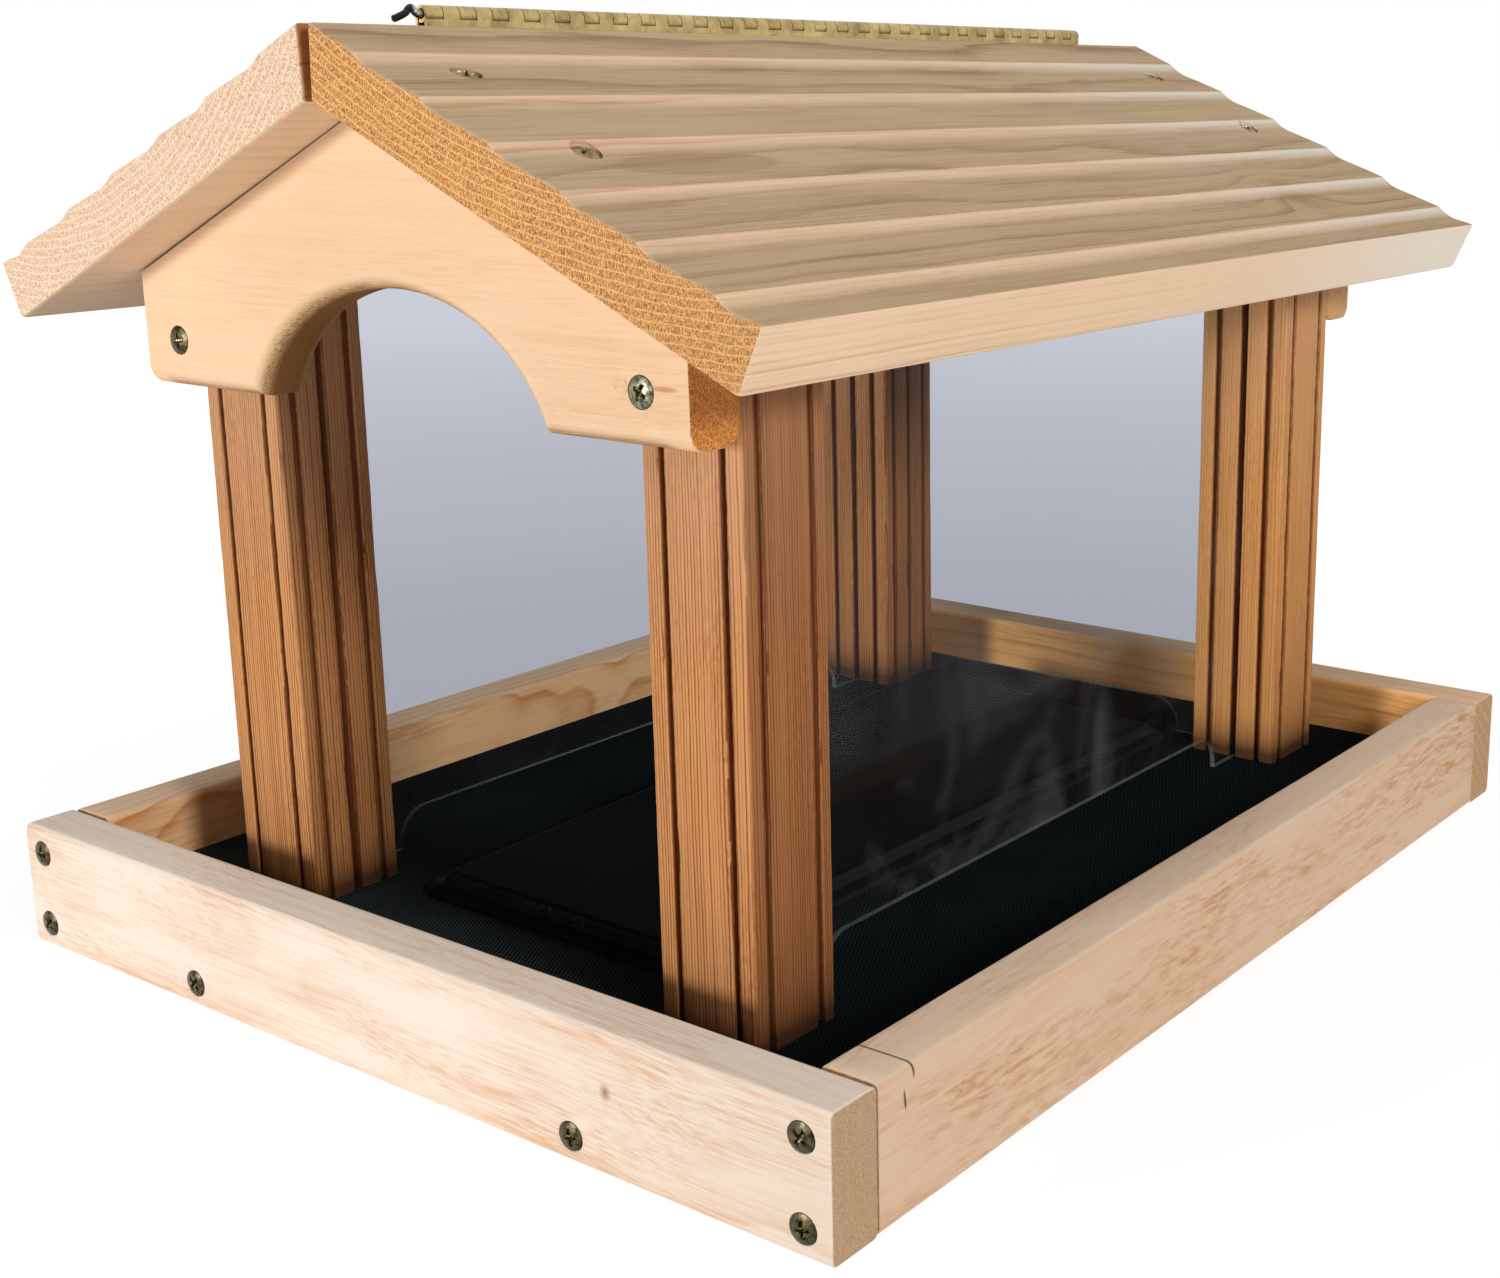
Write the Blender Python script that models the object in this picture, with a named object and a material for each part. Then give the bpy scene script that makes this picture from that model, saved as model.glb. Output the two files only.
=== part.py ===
"""Cedar fly-through bird feeder: open tray, four fluted posts, two arched gables, clear panes and a hinged lap-board roof.

X runs across the gables, Y along the ridge, Z up; the origin is the middle of the tray's underside. Sizes below are in millimetres."""

import math

import bmesh
import bpy
from mathutils import Vector

# Tray
TRAY_W = 355.0          # across the front rail
TRAY_L = 438.0          # front face to back face
RAIL_H = 43.0
RAIL_T = 19.0
RAIL_EDGE = 2.2         # eased edges of the rails
JOINT_GAP = 0.3         # clearance wherever two pieces meet

# Floor and what carries it
BEARER_W = 57.0
BEARER_H = 19.0
BEARER_IN = 12.3        # how far a bearer's middle lies inside the posts' middle
FLOOR_T = 2.0

# Loose black seed plate
PLATE_SIDE_GAP = 17.1   # to the posts' inner faces
PLATE_END_GAP = 51.0    # to the end rails
PLATE_X = 2.5           # off the middle
PLATE_FLANGE_T = 2.2
PLATE_RISE = 4.6
PLATE_FLANGE_W = 5.0
PLATE_BEVEL_W = 2.6
PLATE_CORNER_R = 9.0
PLATE_CURL = 8.5        # how far its back left corner has lifted

# Posts
POST_W = 37.0
POST_D = 34.5
POST_INSET_X = 42.4     # from a side rail's inner face to a post
POST_INSET_Y = 24.75    # from an end rail's inner face to a post
POST_ROOF_GAP = 0.98
POST_EDGE = 1.4
FLUTE_OFF = 11.0        # flutes either side of a face's middle
FLUTE_W_END = 2.1       # on the faces toward the gables
FLUTE_W_SIDE = 3.2      # on the faces toward the long sides
FLUTE_W_IN = 2.8
FLUTE_DEPTH = 2.6

# Clear panes
PANE_T = 2.0
PANE_CLEAR = 0.5        # to each side of its slot
PANE_SLOT_DEPTH = 7.4
PANE_END_CLEAR = 0.6    # to the bottom of its slot
PANE_ROOF_GAP = 2.9
PORT_H = 13.8           # seed port cut in a pane's lower edge
PORT_LEG = 16.5         # clear leg left beside each post
PORT_R = 12.0

# Gables
GABLE_OVER = 0.3        # past the posts at each side
GABLE_T = 19.1
GABLE_H = 88.2          # peak to lower edge
ARCH_SIDE = 15.9        # from a post's inner face to the arch
ARCH_DROP = 12.7        # the arch's middle lies this far below the lower edge
ARCH_RISE = 48.3
GABLE_ROUND = 5.5       # rounding of the arch and of the lower edges

# Roof
ROOF_END_OVER = 20.85   # past each gable
EAVE_OVER = 34.6        # past the gables' sides, level
ROOF_ANGLE = 24.3
PEAK_Z = 285.4          # where the two undersides meet
BOARD_T = 19.3
RIDGE_LEAN = 3.2        # the boards' ridge cuts lean this far off plumb
COURSE_PITCH = 27.3
COURSE_FIRST = 17.05
EAVE_LAND = 8.0         # plain strip kept at the eave
COVE_LEN = 7.5
COVE_DEPTH = 1.4
EAVE_T = 19.2

# Hinge
BARREL_R = 2.45
PIN_CLEAR = 0.35
KNUCKLE_L = 6.13
HINGE_FRONT = 40.5      # from the roof's front end
HINGE_BACK = 47.0       # from the roof's back end
LEAF_T = 0.9
LEAF_REACH = 10.5       # from the pin down into the gap between the boards

# Screws
HEAD_R = 4.25
SHANK_R = 1.9
SCREW_L = 32.0
HEAD_CONE = 3.1
HEAD_DOME = 0.9
CORNER_SCREW_UP = 8.5   # from the tray's underside
CORNER_SCREW_DOWN = 9.0 # from the rails' top
BEARER_SCREW_UP = 8.0
GABLE_SCREW_UP = 14.8   # from the gable's lower edge
GABLE_SCREW_OUT = 1.4   # outward of the post's middle
FOOT_SCREW_SINK = 0.9
ROOF_SCREW_S = (23.5, 72.2)     # down the slope, from the peak
ROOF_SCREW_SINK = 1.9   # a head's rim below the boards' face
CROSS_L = 2.6
CROSS_W = 0.95
CROSS_DEPTH = 1.7
HOLE_CLEAR = 0.3
SCREW_SIDES = 10

MM = 0.001
ALPHA = math.radians(ROOF_ANGLE)
LEAN = math.radians(RIDGE_LEAN)
hx, hy = TRAY_W / 2, TRAY_L / 2
POST_X = hx - RAIL_T - POST_INSET_X - POST_W / 2
POST_Y = hy - RAIL_T - POST_INSET_Y - POST_D / 2
BEARER_X = POST_X - BEARER_IN
FLOOR_BOTTOM = BEARER_H + JOINT_GAP
FLOOR_TOP = FLOOR_BOTTOM + FLOOR_T
STAND_Z = FLOOR_TOP + JOINT_GAP
side_in = POST_Y - POST_D / 2                       # the posts' inner faces
end_in = POST_X - POST_W / 2
PLATE_W = 2 * (end_in - PLATE_SIDE_GAP)
PLATE_L = 2 * (hy - RAIL_T - PLATE_END_GAP)
PANE_SLOT_W = PANE_T + 2 * PANE_CLEAR
PANE_ENTER = PANE_SLOT_DEPTH - PANE_END_CLEAR
POST_TOP = PEAK_Z - (POST_X + POST_W / 2) * math.tan(ALPHA) - POST_ROOF_GAP
PANE_TOP = PEAK_Z - (POST_X + PANE_T / 2) * math.tan(ALPHA) - PANE_ROOF_GAP
GABLE_Y = POST_Y + POST_D / 2 + JOINT_GAP           # inner face of a gable
GABLE_HALF_W = POST_X + POST_W / 2 + GABLE_OVER
GABLE_BOTTOM = PEAK_Z - GABLE_H
ARCH_HALF_W = end_in - ARCH_SIDE
ARCH_MID_Z = GABLE_BOTTOM - ARCH_DROP
ROOF_L = 2 * (GABLE_Y + GABLE_T + ROOF_END_OVER)
ROOF_S_END = (GABLE_HALF_W + EAVE_OVER) / math.cos(ALPHA)
COURSES = int((ROOF_S_END - EAVE_LAND - COURSE_FIRST) / COURSE_PITCH) + 1
BARREL_BORE = BARREL_R - LEAF_T
PIN_R = BARREL_BORE - PIN_CLEAR
centre_t = BOARD_T + JOINT_GAP + BARREL_BORE
BARREL_Z = PEAK_Z + centre_t / math.cos(ALPHA)
HINGE_Y0, HINGE_Y1 = HINGE_FRONT - ROOF_L / 2, ROOF_L / 2 - HINGE_BACK
KNUCKLES = 2 * round((HINGE_Y1 - HINGE_Y0) / KNUCKLE_L / 2)
CORNER_SCREW_Z = (CORNER_SCREW_UP, RAIL_H - CORNER_SCREW_DOWN)
CORNER_SCREW_X = hx - RAIL_T / 2

for old in list(bpy.data.objects):
    bpy.data.objects.remove(old, do_unlink=True)


# Shape helpers
def material(name, rgb, rough, metal=0.0, alpha=1.0):
    mat = bpy.data.materials.new(name)
    mat.use_nodes = True
    shader = mat.node_tree.nodes["Principled BSDF"]
    shader.inputs["Base Color"].default_value = (*rgb, 1)
    shader.inputs["Roughness"].default_value = rough
    shader.inputs["Metallic"].default_value = metal
    shader.inputs["Alpha"].default_value = alpha
    mat.diffuse_color = (*rgb, alpha)
    return mat


def add(name, verts, faces, mat, origin=(0, 0, 0)):
    """One closed mesh object from points in millimetres, its origin where asked."""
    o = Vector(origin)
    mesh = bpy.data.meshes.new(name)
    mesh.from_pydata([(Vector(v) - o) * MM for v in verts], [], faces)
    bm = bmesh.new()
    bm.from_mesh(mesh)
    bmesh.ops.remove_doubles(bm, verts=bm.verts, dist=1e-7)
    bmesh.ops.recalc_face_normals(bm, faces=bm.faces)
    bm.to_mesh(mesh)
    bm.free()
    obj = bpy.data.objects.new(name, mesh)
    obj.location = o * MM
    obj.data.materials.append(mat)
    bpy.context.scene.collection.objects.link(obj)
    return obj


def loft(layers, closed_ends=True):
    """Verts and faces of a body through rings that hold the same number of points."""
    n = len(layers[0])
    verts = [p for ring in layers for p in ring]
    faces = []
    for k in range(len(layers) - 1):
        for i in range(n):
            j = (i + 1) % n
            faces.append((k * n + i, k * n + j, (k + 1) * n + j, (k + 1) * n + i))
    if closed_ends:
        faces.append(tuple(range(n))[::-1])
        faces.append(tuple(range((len(layers) - 1) * n, len(layers) * n)))
    return verts, faces


def rounded_rect(hw, hd, r, steps=3):
    pts = []
    for cx, cy, a0 in ((hw - r, hd - r, 0), (r - hw, hd - r, 90), (r - hw, r - hd, 180), (hw - r, r - hd, 270)):
        for k in range(steps + 1):
            a = math.radians(a0 + 90 * k / steps)
            pts.append((cx + r * math.cos(a), cy + r * math.sin(a)))
    return pts


def ease(obj, width, segments=2):
    mod = obj.modifiers.new("eased edges", "BEVEL")
    mod.width = width * MM
    mod.segments = segments
    mod.limit_method = "ANGLE"
    mod.angle_limit = math.radians(50)


def box(name, x0, x1, y0, y1, z0, z1, mat):
    ring = [(x0, y0), (x1, y0), (x1, y1), (x0, y1)]
    return add(name, *loft([[(x, y, z0) for x, y in ring], [(x, y, z1) for x, y in ring]]), mat)


def slope_point(s, t, side=1):
    """A point of the roof's section: s down the slope from the peak, t out from the underside."""
    x = s * math.cos(ALPHA) + t * math.sin(ALPHA)
    return side * x, PEAK_Z - s * math.sin(ALPHA) + t * math.cos(ALPHA)


# Screws: each one is placed by the middle of its head and the way it drives
screws = []


def screw(name, place, way, through):
    screws.append((name, Vector(place), Vector(way).normalized(), through))


def turned(profile, sides, place, way, half_turn=0.0):
    """Rings of a body turned about the way it drives; profile is (radius, depth) pairs with zero radius at both ends."""
    up = -way
    side_a = up.orthogonal().normalized()
    side_b = up.cross(side_a)
    verts = [place + up * profile[0][1]]
    for r, d in profile[1:-1]:
        for k in range(sides):
            a = 2 * math.pi * (k + half_turn) / sides
            verts.append(place + up * d + (side_a * math.cos(a) + side_b * math.sin(a)) * r)
    verts.append(place + up * profile[-1][1])
    rows = len(profile) - 2
    faces = []
    for k in range(sides):
        j = (k + 1) % sides
        faces.append((0, 1 + k, 1 + j))
        for row in range(rows - 1):
            a, b = 1 + row * sides, 1 + (row + 1) * sides
            faces.append((a + k, b + k, b + j, a + j))
        a = 1 + (rows - 1) * sides
        faces.append((len(verts) - 1, a + j, a + k))
    return [tuple(v) for v in verts], faces


def hide_cutter(obj):
    obj.hide_render = True
    obj.display_type = "WIRE"


def cut(obj, cutter):
    mod = obj.modifiers.new("cut " + cutter.name, "BOOLEAN")
    mod.operation = "DIFFERENCE"
    mod.solver = "EXACT"
    mod.object = cutter


# Materials
CEDAR = material("cedar rail", (0.80, 0.62, 0.44), 0.6)
CEDAR_ROOF = material("cedar roof board", (0.70, 0.56, 0.39), 0.6)
CEDAR_POST = material("red cedar post", (0.50, 0.27, 0.13), 0.6)
BLACK_MESH = material("black floor mesh", (0.02, 0.022, 0.022), 0.55)
BLACK_PLATE = material("black plate", (0.012, 0.012, 0.013), 0.35)
CLEAR = material("clear pane", (0.95, 0.97, 0.97), 0.05, alpha=0.3)
BRASS = material("brass hinge", (0.62, 0.50, 0.26), 0.35, 1.0)
STEEL = material("steel pin", (0.35, 0.35, 0.36), 0.35, 1.0)
SCREW = material("screw steel", (0.30, 0.26, 0.18), 0.4, 1.0)

# Tray rails: the end rails run full width and cover the ends of the side rails
for name, sign in (("front_rail", -1), ("back_rail", 1)):
    y_out, y_in = sign * hy, sign * (hy - RAIL_T)
    rail = box(name, -hx, hx, min(y_out, y_in), max(y_out, y_in), 0, RAIL_H, CEDAR)
    ease(rail, RAIL_EDGE)
side_y = hy - RAIL_T - JOINT_GAP
for name, sign in (("left_rail", -1), ("right_rail", 1)):
    cx = sign * (hx - RAIL_T / 2)
    ring = [(cx + x, RAIL_H / 2 + z) for x, z in rounded_rect(RAIL_T / 2, RAIL_H / 2, RAIL_EDGE)]
    add(name, *loft([[(x, y, z) for x, z in ring] for y in (-side_y, side_y)]), CEDAR)

# Floor bearers and the black floor that lies on them
for name, sign in (("bearer_left", -1), ("bearer_right", 1)):
    box(name, sign * BEARER_X - BEARER_W / 2, sign * BEARER_X + BEARER_W / 2, -side_y, side_y, 0, BEARER_H, CEDAR)
floor_x = hx - RAIL_T - JOINT_GAP
box("floor_screen", -floor_x, floor_x, -side_y, side_y, FLOOR_BOTTOM, FLOOR_TOP, BLACK_MESH)

# Seed plate: a thin flange, a bevel and a raised middle; its back left corner has lifted
def lift(x, y):
    u = min(max((PLATE_W / 2 - x) / PLATE_W, 0), 1)
    v = min(max((y + PLATE_L / 2) / PLATE_L, 0), 1)
    return PLATE_CURL * u * (0.15 + 0.85 * v) ** 1.3 * u


def plate_ring(inset, z):
    corners = rounded_rect(PLATE_W / 2 - inset, PLATE_L / 2 - inset, max(PLATE_CORNER_R - inset, 2.0), 4)
    pts = []
    for k, p in enumerate(corners):
        q = corners[(k + 1) % len(corners)]
        pts.append(p)
        steps = 7 if abs(q[1] - p[1]) > PLATE_W else (3 if abs(q[0] - p[0]) > 30 else 1)
        for m in range(1, steps):
            pts.append((p[0] + (q[0] - p[0]) * m / steps, p[1] + (q[1] - p[1]) * m / steps))
    return [(PLATE_X + x, y, z + lift(x, y)) for x, y in pts]


plate_z = STAND_Z
rings = [
    plate_ring(0.0, plate_z),
    plate_ring(0.0, plate_z + PLATE_FLANGE_T),
    plate_ring(PLATE_FLANGE_W, plate_z + PLATE_FLANGE_T + 0.4),
    plate_ring(PLATE_FLANGE_W + PLATE_BEVEL_W * 0.7, plate_z + PLATE_FLANGE_T + PLATE_RISE * 0.85),
    plate_ring(PLATE_FLANGE_W + PLATE_BEVEL_W * 1.6, plate_z + PLATE_FLANGE_T + PLATE_RISE),
]
plate_verts, plate_faces = loft(rings, closed_ends=False)
ring_n = len(rings[0])
for base, z in ((0, plate_z), (4 * ring_n, plate_z + PLATE_FLANGE_T + PLATE_RISE)):
    middle = len(plate_verts)
    plate_verts.append((PLATE_X, 0.0, z + lift(0, 0)))
    for i in range(ring_n):
        plate_faces.append((base + i, base + (i + 1) % ring_n, middle))
add("seed_plate", plate_verts, plate_faces, BLACK_PLATE)


# Posts: fluted on every face, with a slot for a pane in the middle of each inner face
def post_ring(sx, sy):
    """The section, going round anticlockwise; the faces toward +sx and +sy look outward."""
    hw, hd = POST_W / 2, POST_D / 2

    def face(half_len, outward, width):
        cuts = [(-FLUTE_OFF, width, FLUTE_DEPTH), (FLUTE_OFF, width, FLUTE_DEPTH)]
        if not outward:
            cuts.insert(1, (0.0, PANE_SLOT_W, PANE_SLOT_DEPTH))
        pts = [(-half_len + POST_EDGE, 0.0)]
        for mid, wide, deep in cuts:
            pts += [(mid - wide / 2, 0.0), (mid - wide / 2, -deep), (mid + wide / 2, -deep), (mid + wide / 2, 0.0)]
        pts.append((half_len - POST_EDGE, 0.0))
        return pts

    out = []
    for k, (nx, ny) in enumerate(((1, 0), (0, 1), (-1, 0), (0, -1))):
        half_len, dist = (hd, hw) if nx else (hw, hd)
        outward = (nx and nx == sx) or (ny and ny == sy)
        width = FLUTE_W_IN if not outward else (FLUTE_W_SIDE if nx else FLUTE_W_END)
        tx, ty = -ny, nx
        for a, d in face(half_len, outward, width):
            out.append((nx * (dist + d) + tx * a, ny * (dist + d) + ty * a))
        cx, cy = nx * dist + tx * half_len, ny * dist + ty * half_len
        mx, my = cx - (nx + tx) * POST_EDGE * 0.29, cy - (ny + ty) * POST_EDGE * 0.29
        out.append((mx, my))
    return out


POSTS = {"post_front_left": (-1, -1), "post_front_right": (1, -1), "post_back_left": (-1, 1), "post_back_right": (1, 1)}
for name, (sx, sy) in POSTS.items():
    ring = [(sx * POST_X + x, sy * POST_Y + y) for x, y in post_ring(sx, sy)]
    add(name, *loft([[(x, y, z) for x, y in ring] for z in (STAND_Z, POST_TOP)]), CEDAR_POST)


# Panes: an upside-down U, with a low round-cornered port between two legs
def pane_outline(half_span, half_port, top):
    z0 = STAND_Z
    pts = [(-half_span, z0), (-half_port, z0)]
    for k in range(7):
        a = math.radians(180 - 90 * k / 6)
        pts.append((-half_port + PORT_R + PORT_R * math.cos(a), z0 + PORT_H - PORT_R + PORT_R * math.sin(a)))
    for k in range(7):
        a = math.radians(90 - 90 * k / 6)
        pts.append((half_port - PORT_R + PORT_R * math.cos(a), z0 + PORT_H - PORT_R + PORT_R * math.sin(a)))
    return pts + [(half_port, z0), (half_span, z0), (half_span, top), (-half_span, top)]


side_outline = pane_outline(side_in + PANE_ENTER, side_in - PORT_LEG, PANE_TOP)
end_outline = pane_outline(end_in + PANE_ENTER, end_in - PORT_LEG, PANE_TOP)
for name, sx in (("pane_left", -1), ("pane_right", 1)):
    layers = [[(sx * POST_X + d, y, z) for y, z in side_outline] for d in (-PANE_T / 2, PANE_T / 2)]
    add(name, *loft(layers), CLEAR)
add("pane_back", *loft([[(x, POST_Y + d, z) for x, z in end_outline] for d in (-PANE_T / 2, PANE_T / 2)]), CLEAR)


# Gables: a five-sided board with an arch; the arch and the lower edges are rounded over
def gable_ring(off):
    top_drop = (JOINT_GAP + 0.05) / math.cos(ALPHA)
    shoulder = PEAK_Z - top_drop - GABLE_HALF_W * math.tan(ALPHA)
    bottom = GABLE_BOTTOM + off
    a_foot = math.asin((GABLE_BOTTOM - ARCH_MID_Z) / ARCH_RISE)
    steps = 20
    arch = []
    for k in range(steps + 1):
        a = math.pi - a_foot - (math.pi - 2 * a_foot) * k / steps
        nx, nz = math.cos(a) / ARCH_HALF_W, math.sin(a) / ARCH_RISE
        size = math.hypot(nx, nz)
        x = ARCH_HALF_W * math.cos(a) + off * nx / size
        z = ARCH_MID_Z + ARCH_RISE * math.sin(a) + off * nz / size
        arch.append((x, max(z, bottom)))
    foot = ARCH_HALF_W * math.cos(a_foot) + off
    arch[0], arch[-1] = (-foot, bottom), (foot, bottom)
    return [(-GABLE_HALF_W, shoulder), (-GABLE_HALF_W, bottom)] + arch + [(GABLE_HALF_W, bottom), (GABLE_HALF_W, shoulder), (0, PEAK_Z - top_drop)]


round_steps = [math.radians(a) for a in (0, 30, 60, 90)]
depth_off = [(GABLE_ROUND * (1 - math.cos(a)), GABLE_ROUND * (1 - math.sin(a))) for a in round_steps]
depth_off += [(GABLE_T - d, o) for d, o in reversed(depth_off)]
for name, sign in (("gable_front", -1), ("gable_back", 1)):
    layers = [[(x, sign * (GABLE_Y + GABLE_T - d), z) for x, z in gable_ring(o)] for d, o in depth_off]
    add(name, *loft(layers), CEDAR)


# Roof boards: lap-board section with six coves and a thick eave
def ridge_s(t):
    """Where a board's ridge cut is, t out from its underside: a leaf of the hinge lies along it, tangent to the barrel."""
    off = BARREL_R + JOINT_GAP - (BARREL_Z - PEAK_Z) * math.sin(LEAN)
    return (off - t * math.sin(ALPHA - LEAN)) / math.cos(ALPHA - LEAN)


def roof_ring(side):
    pts = [(ridge_s(0.0), 0.0), (ridge_s(BOARD_T), BOARD_T)]
    for k in range(COURSES):
        s = COURSE_FIRST + COURSE_PITCH * k - COVE_LEN / 2
        pts += [(s + COVE_LEN * w, BOARD_T - COVE_DEPTH * (1 - (1 - w) ** 2)) for w in (0.0, 0.15, 0.35, 0.6, 1.0)]
        if k < COURSES - 1:
            pts.append((s + COVE_LEN / 2 + COURSE_PITCH * 0.5, BOARD_T - COVE_DEPTH * 0.42))
    pts += [(ROOF_S_END - 0.5, EAVE_T), (ROOF_S_END, EAVE_T - 0.5)]
    pts += [(ROOF_S_END, 0.9), (ROOF_S_END - 0.9, 0.0)]
    return [slope_point(s, t, side) for s, t in pts]


for name, side, origin in (("roof_fixed", 1, (0, 0, PEAK_Z)), ("roof_flap", -1, (0, 0, BARREL_Z))):
    ring = roof_ring(side)
    layers = [[(x, y, z) for x, z in ring] for y in (-ROOF_L / 2, ROOF_L / 2)]
    add(name, *loft(layers), CEDAR_ROOF, origin)

# Continuous hinge: two leaves that hang in the gap between the boards, with rolled knuckles that take turns along one pin
split = BARREL_R + 0.4
CURL_END = -30.0        # the roll's free end stops short of the leaf


def curl_ring():
    """Depth below the pin and distance off its middle plane, round the rolled part of a leaf."""
    turn = 270.0 - CURL_END
    outer = [math.radians(-90 - turn * k / 8) for k in range(9)]
    inner = [math.radians(-90 - turn + turn * k / 6) for k in range(7)]
    pts = [(split, BARREL_R)]
    pts += [(BARREL_R * math.cos(a), -BARREL_R * math.sin(a)) for a in outer]
    pts += [(BARREL_BORE * math.cos(a), -BARREL_BORE * math.sin(a)) for a in inner]
    return pts + [(split, BARREL_BORE)]


def leaf(name, side, mine, origin):
    curl = curl_ring()
    plate = [(LEAF_REACH, BARREL_BORE), (LEAF_REACH, BARREL_R)]
    section = [(side * (off * math.cos(LEAN) - down * math.sin(LEAN)), BARREL_Z - down * math.cos(LEAN) - off * math.sin(LEAN)) for down, off in curl + plate]
    n, m = len(section), len(curl)
    pitch = (HINGE_Y1 - HINGE_Y0) / KNUCKLES
    planes, full = [], []
    ys = [HINGE_Y0]
    for k in range(KNUCKLES):
        y0, y1 = HINGE_Y0 + pitch * k, HINGE_Y0 + pitch * (k + 1)
        if k % 2 == mine:
            lo, hi = y0 + (JOINT_GAP / 2 if k else 0), y1 - (JOINT_GAP / 2 if k < KNUCKLES - 1 else 0)
            if lo > ys[-1]:
                ys.append(lo)
                full.append(False)
            ys.append(hi)
            full.append(True)
    if ys[-1] < HINGE_Y1:
        ys.append(HINGE_Y1)
        full.append(False)
    verts, faces = [], []
    for y in ys:
        verts += [(x, y, z) for x, z in section]

    def at(plane, i):
        return plane * n + i

    for k, whole in enumerate(full):
        loop = list(range(n)) if whole else [0] + list(range(m - 1, n))
        for i in range(len(loop)):
            a, b = loop[i], loop[(i + 1) % len(loop)]
            faces.append((at(k, a), at(k, b), at(k + 1, b), at(k + 1, a)))
        before = full[k - 1] if k else None
        if whole != before:
            if k == 0:
                faces.append(tuple(at(0, i) for i in loop)[::-1])
            else:
                faces.append(tuple(at(k, i) for i in range(m)))
    last = len(ys) - 1
    loop = list(range(n)) if full[-1] else [0] + list(range(m - 1, n))
    faces.append(tuple(at(last, i) for i in loop))
    used = sorted({i for f in faces for i in f})
    index = {old: new for new, old in enumerate(used)}
    add(name, [verts[i] for i in used], [tuple(index[i] for i in f) for f in faces], BRASS, origin)


leaf("hinge_leaf_fixed", 1, 1, (0, 0, PEAK_Z))
leaf("hinge_leaf_flap", -1, 0, (0, 0, BARREL_Z))

# Hinge pin, its near end bent over and lying along the ridge
pin_path = [
    (HINGE_Y1 + 0.6, BARREL_Z), (HINGE_Y0 - 1.3, BARREL_Z), (HINGE_Y0 - 2.3, BARREL_Z + 0.7), (HINGE_Y0 - 3.2, BARREL_Z + 1.6),
    (HINGE_Y0 - 4.3, BARREL_Z + 1.2), (HINGE_Y0 - 5.4, BARREL_Z + 0.1), (HINGE_Y0 - 7.4, BARREL_Z - 0.8), (HINGE_Y0 - 9.6, BARREL_Z - 1.6),
]
pin_rings = []
for k, (y, z) in enumerate(pin_path):
    ya, za = pin_path[max(k - 1, 0)]
    yb, zb = pin_path[min(k + 1, len(pin_path) - 1)]
    along = Vector((0, yb - ya, zb - za)).normalized()
    side_v = Vector((1, 0, 0))
    up_v = side_v.cross(along)
    r = PIN_R if k < 3 else PIN_R * 0.85
    pin_rings.append([tuple(Vector((0, y, z)) + (side_v * math.cos(a) + up_v * math.sin(a)) * r) for a in [2 * math.pi * i / 8 for i in range(8)]])
add("hinge_pin", *loft(pin_rings), STEEL, (0, 0, BARREL_Z))

# Where every screw goes and what it passes through
for end, sy in (("front", -1), ("back", 1)):
    for label, sx in (("left", -1), ("right", 1)):
        for height, z in zip(("low", "high"), CORNER_SCREW_Z):
            screw(f"screw_{end}_rail_{label}_{height}", (sx * CORNER_SCREW_X, sy * hy, z), (0, -sy, 0), (f"{end}_rail", f"{label}_rail"))
        screw(f"screw_{end}_bearer_{label}", (sx * BEARER_X, sy * hy, BEARER_SCREW_UP), (0, -sy, 0), (f"{end}_rail", f"bearer_{label}"))
        screw(f"screw_{end}_gable_{label}", (sx * (POST_X + GABLE_SCREW_OUT), sy * (GABLE_Y + GABLE_T), GABLE_BOTTOM + GABLE_SCREW_UP), (0, -sy, 0), (f"gable_{end}", f"post_{end}_{label}"))
        screw(f"screw_{end}_foot_{label}", (sx * POST_X, sy * POST_Y, FOOT_SCREW_SINK), (0, 0, 1), (f"bearer_{label}", "floor_screen", f"post_{end}_{label}"))
    for height, s in zip(("high", "low"), ROOF_SCREW_S):
        x, z = slope_point(s, BOARD_T - ROOF_SCREW_SINK)
        screw(f"screw_{end}_roof_{height}", (x, sy * (GABLE_Y + GABLE_T / 2), z), (-math.sin(ALPHA), 0, -math.cos(ALPHA)), ("roof_fixed", f"gable_{end}"))

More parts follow.
